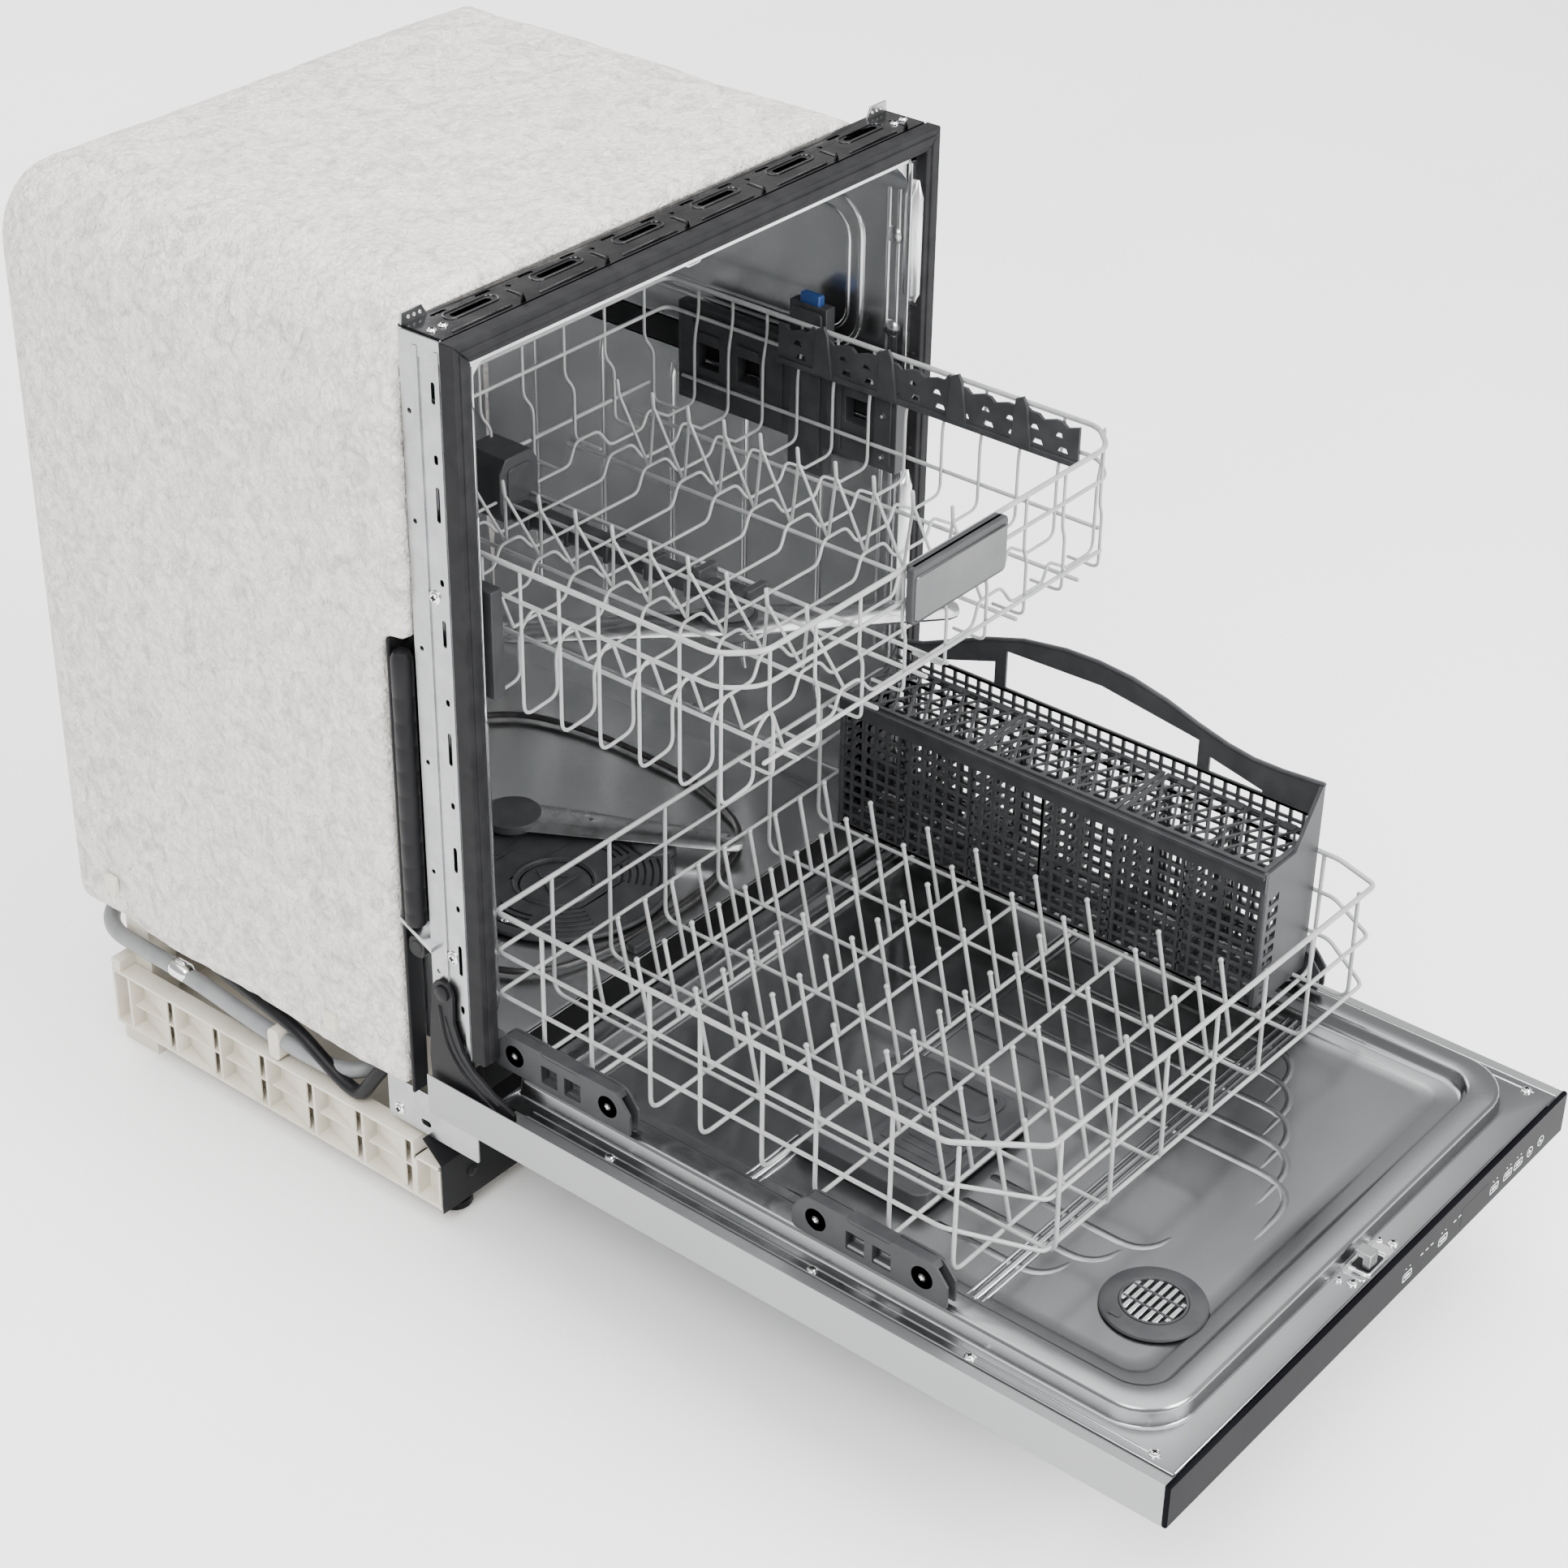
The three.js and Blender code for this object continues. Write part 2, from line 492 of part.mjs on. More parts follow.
// Finger openings in the handle, each with its upper corners cut off.
const handleWindow = (low, high, top) => {
  const window = polygon([
    [HANDLE_MIDDLE + low, BASKET.high + 8], [HANDLE_MIDDLE + high, BASKET.high + 8],
    [HANDLE_MIDDLE + high, top - 12], [HANDLE_MIDDLE + high - 10, top],
    [HANDLE_MIDDLE + low + 10, top], [HANDLE_MIDDLE + low, top - 12],
  ]);
  return alongX(window, BASKET.right - BASKET_WALL - 1, BASKET.right + 1);
};
const basketPieces = [
  slab(BASKET.left, BASKET.right, BASKET.front, BASKET.back, BASKET.low, BASKET.low + BASKET_WALL),
  slab(BASKET.left, BASKET.left + BASKET_WALL, BASKET.front, BASKET.back, BASKET.low, BASKET.high),
  slab(BASKET.right - BASKET_WALL, BASKET.right, BASKET.front, BASKET.back, BASKET.low, BASKET.high),
  alongX(handleOutline(), BASKET.right - BASKET_WALL, BASKET.right, 6),
];
for (let i = 0; i <= LID_COUNT; i += 1) {
  const y = BASKET.front + i * CELL;
  basketPieces.push(slab(BASKET.left, BASKET.right, y, y + BASKET_WALL, BASKET.low, BASKET.high));
}
const handleWindows = [
  handleWindow(-167, -113, 388), handleWindow(-101, 101, 414), handleWindow(113, 167, 388),
];
add('cutlery_basket', shell(cut(join(basketPieces), handleWindows)), darkPlastic);

for (let i = 0; i < LID_COUNT; i += 1) {
  const y0 = BASKET.front + i * CELL + 2;
  const y1 = BASKET.front + (i + 1) * CELL;
  const low = BASKET.high + GAP;
  const lid = grille('z', low, low + LID_THICKNESS, BASKET.left + 1, LID_HINGE_X, y0, y1, 2, 3, 4);
  add(`cutlery_lid_${i + 1}`, lid, darkPlastic);
}

// ---------------------------------------------------------------- door
const DOOR_SHEET = 0.9;
const DOOR_BODY_TIP = -733.3;    // the shell ends here, behind the control panel
const DOOR_HEEL = 14;            // hinge end of the side skins
const PANEL_HEEL = -42;          // hinge end of the outer panel
const FLANGE_HEEL = -88;         // hinge end of the border
const BORDER_INNER = 276;
const skinProfile = (half) => polygon([
  [-half, DOOR_UNDERSIDE], [half, DOOR_UNDERSIDE], [half, DOOR_FLANGE], [BORDER_INNER, DOOR_FLANGE],
  [BORDER_INNER, DOOR_FLANGE - DOOR_SHEET], [half - DOOR_SHEET, DOOR_FLANGE - DOOR_SHEET],
  [half - DOOR_SHEET, DOOR_UNDERSIDE + DOOR_SHEET], [DOOR_SHEET - half, DOOR_UNDERSIDE + DOOR_SHEET],
  [DOOR_SHEET - half, DOOR_FLANGE - DOOR_SHEET], [-BORDER_INNER, DOOR_FLANGE - DOOR_SHEET],
  [-BORDER_INNER, DOOR_FLANGE], [-half, DOOR_FLANGE],
]);
const doorSkin = solid(alongY(skinProfile(HALF_WIDTH), DOOR_BODY_TIP, DOOR_HEEL));
const heelCut = slab(-HALF_WIDTH + DOOR_SHEET, HALF_WIDTH - DOOR_SHEET, FLANGE_HEEL, 50, 165, 180);
const panelCut = slab(-HALF_WIDTH + DOOR_SHEET, HALF_WIDTH - DOOR_SHEET, PANEL_HEEL, 50, 120, 140);
add('door_outer', shell(cut(doorSkin, [heelCut, panelCut])), doorSteel);

// The liner: a flat border, a raised rim for the rack wheels and a recessed middle.
const LINER = { half: 273, heel: -62, tip: -708, rim: 26, recess: 178 };
const linerBlock = (inset, z0, z1, radius) => {
  const { half, heel, tip } = LINER;
  const outline = roundedRect(
    -half + inset, half - inset, tip + inset, heel - inset, [radius, radius, 8, 8],
  );
  return alongZ(outline, z0, z1, 4);
};
const liner = () => {
  const low = DOOR_FLANGE + GAP;
  const border = slab(-300, 300, DOOR_BODY_TIP + GAP, FLANGE_HEEL - GAP, low, low + DOOR_SHEET);
  const raised = solid(linerBlock(0, low, LINER_TOP, 46)).add(solid(border));
  const underside = solid(linerBlock(DOOR_SHEET, low - 1, LINER_TOP - DOOR_SHEET, 45));
  const bowl = solid(linerBlock(LINER.rim, LINER.recess, LINER_TOP + 1, 30));
  const bowlSkin = solid(linerBlock(LINER.rim - DOOR_SHEET, LINER.recess - DOOR_SHEET, LINER_TOP, 31));
  return raised.subtract(underside).add(bowlSkin).subtract(bowl);
};
add('door_liner', shell(liner()), doorSteel);

const panelProfile = polygon([
  [DOOR_TIP, DOOR_UNDERSIDE + 1.5], [DOOR_TIP + 1.5, DOOR_UNDERSIDE], [DOOR_BODY_TIP - GAP, DOOR_UNDERSIDE],
  [DOOR_BODY_TIP - GAP, 173.2], [DOOR_TIP + 1.5, 173.2], [DOOR_TIP, 171.7],
]);
add('control_panel', alongX(panelProfile, -HALF_WIDTH, HALF_WIDTH), glossBlack);

const DISPENSER = { x0: -186, x1: -32, y0: -423, y1: -289, top: 196 };
const dispenserOutline = roundedRect(
  DISPENSER.x0, DISPENSER.x1, DISPENSER.y0, DISPENSER.y1, [14, 14, 30, 14],
);
const soapCup = slab(-150, -92, -408, -346, 182, 200);
const dispenser = cut(solid(alongZ(dispenserOutline, LINER.recess + GAP, DISPENSER.top, 4)), [soapCup]);
add('detergent_dispenser', shell(dispenser), darkPlastic);
add('dispenser_lid', slab(-156, -86, -414, -340, DISPENSER.top + GAP, 199.5), darkPlastic);

// The latch hook turns on a pin across the middle of the door's free end.
const hookProfile = polygon([
  [-727, 173.6], [-727, 188], [-712, 188], [-712, 184], [-720, 183], [-720, 173.6],
]);
add('door_latch_hook', alongX(hookProfile, -6, 6), galvanised);

// Hinge arms: bent levers fixed to the door, with the spring link's pin hole at the upper end.
const armOutline = () => {
  const shape = new THREE.Shape();
  shape.moveTo(-82, 150);
  shape.lineTo(8, 140);
  shape.quadraticCurveTo(18, 190, 6, 262);
  shape.absarc(-4, 260, 10, 0, Math.PI, false);
  shape.quadraticCurveTo(-14, 222, -34, 196);
  shape.lineTo(-82, 172);
  const pinHole = new THREE.Path();
  pinHole.absarc(-4, 260, 4, 0, 2 * Math.PI, true);
  shape.holes.push(pinHole);
  return shape;
};
for (const [name, side] of SIDES) {
  const [x0, x1] = spanX(side, 294, 299);
  add(`hinge_arm_${name}`, alongX(armOutline(), x0, x1, 6), blackPaint);
}

export default dishwasher;
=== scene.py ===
import json
from math import cos, pi, radians, sin

import bmesh
import bpy
from mathutils import Matrix, Vector
from mathutils.geometry import tessellate_polygon

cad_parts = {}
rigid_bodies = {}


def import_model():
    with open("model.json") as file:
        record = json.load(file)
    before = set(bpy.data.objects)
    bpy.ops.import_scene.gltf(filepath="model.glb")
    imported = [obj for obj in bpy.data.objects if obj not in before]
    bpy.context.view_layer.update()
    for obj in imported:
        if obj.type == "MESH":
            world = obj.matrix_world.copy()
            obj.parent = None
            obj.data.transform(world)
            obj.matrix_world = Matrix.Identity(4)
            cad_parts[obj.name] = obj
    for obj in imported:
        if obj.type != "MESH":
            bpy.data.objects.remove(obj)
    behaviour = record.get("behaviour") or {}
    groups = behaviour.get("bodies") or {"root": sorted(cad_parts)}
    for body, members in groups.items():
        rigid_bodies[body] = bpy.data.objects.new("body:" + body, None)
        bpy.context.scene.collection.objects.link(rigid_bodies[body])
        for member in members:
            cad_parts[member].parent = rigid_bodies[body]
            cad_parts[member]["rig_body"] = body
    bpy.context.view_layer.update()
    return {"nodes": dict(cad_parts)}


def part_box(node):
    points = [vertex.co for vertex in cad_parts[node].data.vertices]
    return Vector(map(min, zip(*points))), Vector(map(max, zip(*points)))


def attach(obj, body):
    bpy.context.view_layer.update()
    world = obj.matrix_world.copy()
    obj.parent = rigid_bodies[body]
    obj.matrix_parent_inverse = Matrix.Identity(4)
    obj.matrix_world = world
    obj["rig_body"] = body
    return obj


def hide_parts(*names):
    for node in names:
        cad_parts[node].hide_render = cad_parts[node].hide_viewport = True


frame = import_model()
MM = 0.001
FRAME_FACE = -32.7                                   # front edge of the front frame, in layout y
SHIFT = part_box("front_frame")[0].y / MM - FRAME_FACE  # from layout y to the row frame
SIDES = (("left", -1), ("right", 1))
EDGE_ANGLE = 38                                      # edges sharper than this, in degrees, are broken


def point(x, y, z):
    """A layout point in the row frame, in metres."""
    return Vector((x * MM, (y + SHIFT) * MM, z * MM))


def layout_box(node):
    low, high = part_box(node)
    return [(low[i] / MM - (SHIFT if i == 1 else 0), high[i] / MM - (SHIFT if i == 1 else 0)) for i in range(3)]


# ---------------------------------------------------------------- camera, floor and light
def look(position, target, roll):
    forward = (target - position).normalized()
    right = forward.cross(Vector((0, 0, 1))).normalized()
    up = right.cross(forward)
    across = right * cos(roll) + up * sin(roll)
    above = up * cos(roll) - right * sin(roll)
    turn = Matrix((across, above, -forward)).transposed().to_4x4()
    return Matrix.Translation(position) @ turn


camera = bpy.data.cameras.new("camera")
camera.lens = 73.37
camera.shift_x = 0.02634
camera.shift_y = -0.01893
camera_object = bpy.data.objects.new("camera", camera)
camera_object.matrix_world = look(point(-1793.4, -1567.3, 1839.4), point(-362.2, -380.4, 679.7), radians(0.4745))
bpy.context.scene.collection.objects.link(camera_object)
bpy.context.scene.camera = camera_object


def area_light(name, position, target, size, power):
    light = bpy.data.lights.new(name, "AREA")
    light.shape = "DISK"
    light.size = size
    light.energy = power
    lamp = bpy.data.objects.new(name, light)
    lamp.matrix_world = look(Vector(position), Vector(target), 0)
    bpy.context.scene.collection.objects.link(lamp)


area_light("key", (-3.2, -1.2, 3.6), (0, 0, 0.4), 2.4, 190)
area_light("front_fill", (0.4, -3.8, 2.2), (0, 0, 0.45), 2.2, 330)
area_light("back_fill", (1.5, 4.0, 3.0), (0, 0, 0.4), 3.0, 110)

world = bpy.data.worlds.new("studio")
bpy.context.scene.world = world
world.use_nodes = True
sky = world.node_tree
sky_in = sky.nodes.new("ShaderNodeTexCoord")
sky_split = sky.nodes.new("ShaderNodeSeparateXYZ")
sky_ramp = sky.nodes.new("ShaderNodeValToRGB")
sky.links.new(sky_in.outputs["Generated"], sky_split.inputs[0])
sky.links.new(sky_split.outputs["Z"], sky_ramp.inputs[0])
sky.links.new(sky_ramp.outputs[0], sky.nodes["Background"].inputs[0])
sky_ramp.color_ramp.elements[0].color = (0.17, 0.17, 0.17, 1)
sky_ramp.color_ramp.elements[0].position = 0.62
sky_ramp.color_ramp.elements[1].color = (1.0, 1.0, 1.0, 1)
sky_ramp.color_ramp.elements[1].position = 0.86
sky.nodes["Background"].inputs[1].default_value = 4.2


def finish(name, colour, other, rough, metal=0.0, grain=900, mottle=25, bump=0.15, depth=0.0002,
           rough_spread=0.08, contrast=(0.35, 0.65), specular=0.5, distortion=0.0, detail=5):
    """A procedural finish: a mottled colour, uneven roughness and a fine grain in the bump."""
    material = bpy.data.materials.new(name)
    material.use_nodes = True
    tree = material.node_tree
    shader = tree.nodes["Principled BSDF"]
    shader.inputs["Metallic"].default_value = metal
    shader.inputs["Specular IOR Level"].default_value = specular
    where = tree.nodes.new("ShaderNodeTexCoord").outputs["Object"]

    def noise(scale):
        node = tree.nodes.new("ShaderNodeTexNoise")
        node.inputs["Scale"].default_value = scale
        node.inputs["Detail"].default_value = detail
        node.inputs["Distortion"].default_value = distortion
        tree.links.new(where, node.inputs["Vector"])
        return node.outputs["Fac"]

    pattern = noise(mottle)
    ramp = tree.nodes.new("ShaderNodeValToRGB")
    ramp.color_ramp.elements[0].position, ramp.color_ramp.elements[1].position = contrast
    ramp.color_ramp.elements[0].color = (*other, 1)
    ramp.color_ramp.elements[1].color = (*colour, 1)
    tree.links.new(pattern, ramp.inputs[0])
    tree.links.new(ramp.outputs[0], shader.inputs["Base Color"])
    spread = tree.nodes.new("ShaderNodeMapRange")
    spread.inputs["To Min"].default_value = rough - rough_spread
    spread.inputs["To Max"].default_value = rough + rough_spread
    fine = noise(grain)
    tree.links.new(pattern, spread.inputs["Value"])
    tree.links.new(spread.outputs[0], shader.inputs["Roughness"])
    relief = tree.nodes.new("ShaderNodeBump")
    relief.inputs["Strength"].default_value = bump
    relief.inputs["Distance"].default_value = depth
    tree.links.new(fine, relief.inputs["Height"])
    tree.links.new(relief.outputs[0], shader.inputs["Normal"])
    return material


FELT = finish("felt", (0.85, 0.815, 0.765), (0.58, 0.555, 0.52), 0.95, grain=150, mottle=44, bump=1.0,
              depth=0.007, rough_spread=0.04, contrast=(0.30, 0.58), specular=0.1, distortion=1.4, detail=10)
FELT_CLIP = finish("felt_clip", (0.72, 0.69, 0.58), (0.60, 0.57, 0.47), 0.7, grain=300, bump=0.5, depth=0.0006)
GALVANISED = finish("galvanised", (0.40, 0.405, 0.41), (0.33, 0.335, 0.34), 0.30, 1, mottle=60, grain=500, bump=0.05)
DARK_RAIL = finish("dark_rail", (0.060, 0.060, 0.063), (0.025, 0.025, 0.028), 0.16, 1, mottle=40, grain=500)
TUB_STEEL = finish("tub_steel", (0.66, 0.665, 0.67), (0.56, 0.565, 0.57), 0.25, 1, grain=700, mottle=9,
                   rough_spread=0.05, bump=0.03)
BRIGHT_STEEL = finish("bright_steel", (0.86, 0.865, 0.87), (0.72, 0.725, 0.73), 0.14, 1, mottle=40, bump=0.04)
DOOR_STEEL = finish("door_steel", (0.33, 0.335, 0.34), (0.30, 0.305, 0.31), 0.42, 1, grain=1500, mottle=6, bump=0.04,
                    depth=0.0001)
LINER_STEEL = finish("liner_steel", (0.27, 0.275, 0.28), (0.23, 0.235, 0.24), 0.24, 1, grain=1500, mottle=5,
                     bump=0.03, rough_spread=0.05)
CREAM = finish("cream_plastic", (0.66, 0.62, 0.53), (0.58, 0.54, 0.45), 0.5, grain=700, mottle=35, bump=0.25)
BLACK_PAINT = finish("black_paint", (0.010, 0.010, 0.011), (0.006, 0.006, 0.007), 0.42, grain=650, specular=0.15)
RUBBER = finish("black_rubber", (0.016, 0.016, 0.017), (0.010, 0.010, 0.011), 0.6, grain=500, mottle=60, specular=0.1)
DARK_PLASTIC = finish("dark_plastic", (0.034, 0.035, 0.037), (0.024, 0.025, 0.027), 0.45, grain=1100, mottle=45,
                      bump=0.3, specular=0.25)
GLOSS_BLACK = finish("gloss_black", (0.004, 0.004, 0.005), (0.002, 0.002, 0.003), 0.14, mottle=12,
                     rough_spread=0.03, bump=0.02, specular=0.02)
NYLON = finish("rack_nylon", (0.30, 0.303, 0.306), (0.25, 0.253, 0.256), 0.36, grain=600, mottle=70, bump=0.2)
BLUE = finish("blue_plastic", (0.012, 0.045, 0.16), (0.008, 0.032, 0.12), 0.35, grain=900, mottle=60)
ARM_STEEL = finish("arm_steel", (0.62, 0.625, 0.63), (0.52, 0.525, 0.53), 0.24, 1, mottle=60, grain=900, bump=0.06)
HANDLE_GREY = finish("handle_grey", (0.13, 0.132, 0.134), (0.10, 0.102, 0.104), 0.3, 1, mottle=20, bump=0.05)
HOSE = finish("hose_grey", (0.22, 0.225, 0.23), (0.17, 0.175, 0.18), 0.5, grain=500, mottle=40, bump=0.3)
HEATER = finish("heater_black", (0.030, 0.030, 0.032), (0.055, 0.052, 0.050), 0.3, 0.7, mottle=90)
PRINT = finish("white_print", (0.72, 0.73, 0.74), (0.60, 0.61, 0.62), 0.5, mottle=400, bump=0.1)



# ---------------------------------------------------------------- shape helpers
def soften(points, radius, steps=4, closed=False):
    """A polyline with its corners rounded."""
    points = [Vector(p) for p in points]
    count = len(points)
    route = []
    for i, corner in enumerate(points):
        if not closed and i in (0, count - 1):
            route.append(corner)
            continue
        back, ahead = points[i - 1] - corner, points[(i + 1) % count] - corner
        reach = min(radius, back.length * 0.49, ahead.length * 0.49)
        start, end = corner + back.normalized() * reach, corner + ahead.normalized() * reach
        for k in range(steps + 1):
            t = k / steps
            route.append(start * (1 - t) ** 2 + corner * 2 * t * (1 - t) + end * t ** 2)
    return route


def rounded(u0, u1, v0, v1, radius, steps=5):
    """A rounded rectangle outline; radius is one number or four, counter-clockwise from the low corner."""
    radii = radius if isinstance(radius, (tuple, list)) else (radius,) * 4
    centres = ((u0, v0, 1, 1), (u1, v0, -1, 1), (u1, v1, -1, -1), (u0, v1, 1, -1))
    outline = []
    for k, ((u, v, du, dv), r) in enumerate(zip(centres, radii)):
        for j in range(steps + 1):
            turn = pi + k * pi / 2 + j * pi / 2 / steps
            outline.append((u + du * r + r * cos(turn), v + dv * r + r * sin(turn)))
            if r == 0:
                break
    return outline


def rect(u0, u1, v0, v1):
    return [(u0, v0), (u1, v0), (u1, v1), (u0, v1)]


def circle(u, v, radius, count=20):
    return [(u + radius * cos(2 * pi * i / count), v + radius * sin(2 * pi * i / count)) for i in range(count)]


# where the outline's u and v and the depth t go, by the axis of the depth
AXES = {"x": lambda u, v, t: (t, u, v), "y": lambda u, v, t: (u, t, v), "z": lambda u, v, t: (u, v, t)}


class Form:
    """Closed solids gathered into one piece, in layout millimetres. Each has the number of its finish."""

    def __init__(self):
        self.verts, self.faces, self.parts = [], [], []

    def put(self, verts, faces, part=0):
        base = len(self.verts)
        self.verts.extend(tuple(v) for v in verts)
        self.faces.extend(tuple(i + base for i in face) for face in faces)
        self.parts.extend([part] * len(faces))

    def box(self, x0, x1, y0, y1, z0, z1, part=0):
        self.prism(rect(x0, x1, y0, y1), "z", z0, z1, part=part)

    def prism(self, outline, axis, t0, t1, holes=(), part=0):
        """An outline, with holes, drawn out along an axis. u and v are the other two axes, in X, Y, Z order."""
        loops = [list(outline)] + [list(hole) for hole in holes]
        flat = [p for loop in loops for p in loop]
        place = AXES[axis]
        verts = [place(u, v, t) for t in (t0, t1) for u, v in flat]
        total = len(flat)
        if holes:
            caps = tessellate_polygon([[Vector((u, v, 0)) for u, v in loop] for loop in loops])
        else:
            caps = [range(total)]
        faces = [tuple(face) for face in caps] + [tuple(i + total for i in reversed(list(face))) for face in caps]
        start = 0
        for loop in loops:
            count = len(loop)
            for i in range(count):
                a, b = start + i, start + (i + 1) % count
                faces.append((a, b, b + total, a + total))
            start += count
        self.put(verts, faces, part)

    def lattice(self, axis, t0, t1, us, vs, solid, part=0):
        """A plate of cells between grid lines us and vs; solid(i, j) says which cells are there."""
        place = AXES[axis]
        across, up = len(us), len(vs)
        verts = [place(u, v, t) for t in (t0, t1) for v in vs for u in us]
        layer = across * up
        faces = []
        inside = lambda i, j: 0 <= i < across - 1 and 0 <= j < up - 1 and solid(i, j)
        for j in range(up - 1):
            for i in range(across - 1):
                if not inside(i, j):
                    continue
                a = j * across + i
                corners = (a, a + 1, a + 1 + across, a + across)
                faces.append(corners)
                faces.append(tuple(k + layer for k in reversed(corners)))
                neighbours = ((i, j - 1, 0, 1), (i + 1, j, 1, 2), (i, j + 1, 2, 3), (i - 1, j, 3, 0))
                for ni, nj, p, q in neighbours:
                    if not inside(ni, nj):
                        faces.append((corners[p], corners[q], corners[q] + layer, corners[p] + layer))
        used = sorted({k for face in faces for k in face})
        index = {k: n for n, k in enumerate(used)}
        self.put([verts[k] for k in used], [tuple(index[k] for k in face) for face in faces], part)

    def skin(self, rings, part=0, closed=False):
        """Rings of equally many points, joined in turn, with flat ends unless closed."""
        count = len(rings[0])
        verts = [p for ring in rings for p in ring]
        faces = []
        for k in range(len(rings) if closed else len(rings) - 1):
            a, b = k * count, (k + 1) % len(rings) * count
            faces += [(a + i, a + (i + 1) % count, b + (i + 1) % count, b + i) for i in range(count)]
        if not closed:
            faces += [tuple(range(count)), tuple(reversed(range(len(verts) - count, len(verts))))]
        self.put(verts, faces, part)

    def tube(self, points, radius, sides=8, closed=False, part=0):
        """A round wire along a polyline, with rounded ends unless closed."""
        route = [Vector(p) for p in points]
        count = len(route)
        tangents = []
        for i in range(count):
            back = route[i] - route[i - 1] if closed or i else route[1] - route[0]
            ahead = route[(i + 1) % count] - route[i] if closed or i < count - 1 else back
            tangents.append((back.normalized() + ahead.normalized()).normalized())
        normal = tangents[0].orthogonal().normalized()
        rings = []
        for i, tangent in enumerate(tangents):
            normal = (normal - tangent * normal.dot(tangent)).normalized()
            side = tangent.cross(normal)
            rings.append([route[i] + (normal * cos(2 * pi * k / sides) + side * sin(2 * pi * k / sides)) * radius
                          for k in range(sides)])
        if not closed:
            def cap(ring, centre, outward):
                return [[centre + (p - centre) * f + outward * radius * g for p in ring]
                        for f, g in ((0.8, 0.5), (0.35, 0.85))]
            first = cap(rings[0], route[0], -tangents[0])
            last = cap(rings[-1], route[-1], tangents[-1])
            rings = first[::-1] + rings + last
        self.skin(rings, part, closed)

    def lathe(self, profile, centre, axis="z", count=28, part=0):
        """A profile of (radius, height) points turned about an axis through centre."""
        rings = []
        for radius, height in profile:
            ring = []
            for i in range(count):
                u, v = max(radius, 0.01) * cos(2 * pi * i / count), max(radius, 0.01) * sin(2 * pi * i / count)
                offset = AXES[axis](u, v, height)
                ring.append([centre[k] + offset[k] for k in range(3)])
            rings.append(ring)
        self.skin(rings, part)

    def screw(self, centre, axis, way, radius=4.2):
        """A washer-head screw facing along way * axis, its cross recess drawn as two thin boxes of finish 1 that
        stand slightly proud of the head; a dark finish 1 paints the recess's shade. Finishes 0 and 1.
        """
        head = [(0, -1), (radius * 1.25, -1), (radius * 1.25, 0.5), (radius, 0.8), (radius * 0.8, 1.9), (0, 2.3)]
        self.lathe([(r, way * h) for r, h in head], centre, axis, 20)
        index = "xyz".index(axis)
        t = centre[index] + way * 1.2
        u, v = [centre[k] for k in range(3) if k != index]
        low, high = sorted((t, t + way * 1.25))
        long, short = radius * 0.55, radius * 0.16
        # the cross recess: two boxes of finish 1 laid on the head, not a sunk hole; a dark finish here is painted
        # shade
        self.prism(rect(u - long, u + long, v - short, v + short),
                   axis, low, high, part=1)
        self.prism(rect(u - short, u + short, v - long, v + long),
                   axis, low, high, part=1)

    def make(self, name, body, *finishes, replaces=(), bevel=0.0, segments=2, angle=EDGE_ANGLE):
        mesh = bpy.data.meshes.new(name)
        mesh.from_pydata([point(*v) for v in self.verts], [], self.faces)
        piece = bpy.data.objects.new(name, mesh)
        bpy.context.scene.collection.objects.link(piece)
        for material in finishes:
            mesh.materials.append(material)
        mesh.polygons.foreach_set("material_index", self.parts)
        tidy(mesh, angle)
        return dress(piece, body, replaces, bevel, segments)


def tidy(mesh, angle, weld=False):
    shape = bmesh.new()
    shape.from_mesh(mesh)
    if weld:
        bmesh.ops.remove_doubles(shape, verts=shape.verts, dist=1e-6)
        bmesh.ops.dissolve_limit(shape, angle_limit=radians(0.5), verts=shape.verts, edges=shape.edges)
    bmesh.ops.recalc_face_normals(shape, faces=shape.faces)
    shape.to_mesh(mesh)
    shape.free()
    mesh.shade_smooth()
    mesh.set_sharp_from_angle(angle=radians(angle))


def dress(piece, body, replaces, bevel, segments=2):
    if bevel:
        rounding = piece.modifiers.new("rounding", "BEVEL")
        rounding.width = bevel * MM
        rounding.segments = segments
        rounding.limit_method = "ANGLE"
        rounding.angle_limit = radians(EDGE_ANGLE)
    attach(piece, body)
    if replaces:
        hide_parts(*replaces)
    return piece


def refine(node, material, bevel=0.8, segments=2):
    """The CAD node's own shape with its edges broken, in its place."""
    source = frame["nodes"][node]
    mesh = source.data.copy()
    mesh.name = node + "_finished"
    mesh.materials.clear()
    mesh.materials.append(material)
    tidy(mesh, 30, weld=True)
    piece = bpy.data.objects.new(node + "_finished", mesh)
    bpy.context.scene.collection.objects.link(piece)
    return dress(piece, source["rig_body"], (node,), bevel, segments)


def mirrored(side, outline):
    return [(side * u, v) for u, v in outline]


def facing(side, profile):
    """A lathe profile that points outwards on either side."""
    return [(radius, side * height) for radius, height in profile]


def span(side, near, far):
    return (-far, -near) if side < 0 else (near, far)


# ---------------------------------------------------------------- insulation blanket
FELT_VOXEL = 6.5 * MM
FELT_CLOUDS = (("sag", 0.16, 7.5), ("lumps", 0.035, 2.6), ("tufts", 0.011, 1.5))   # name, size, strength in mm


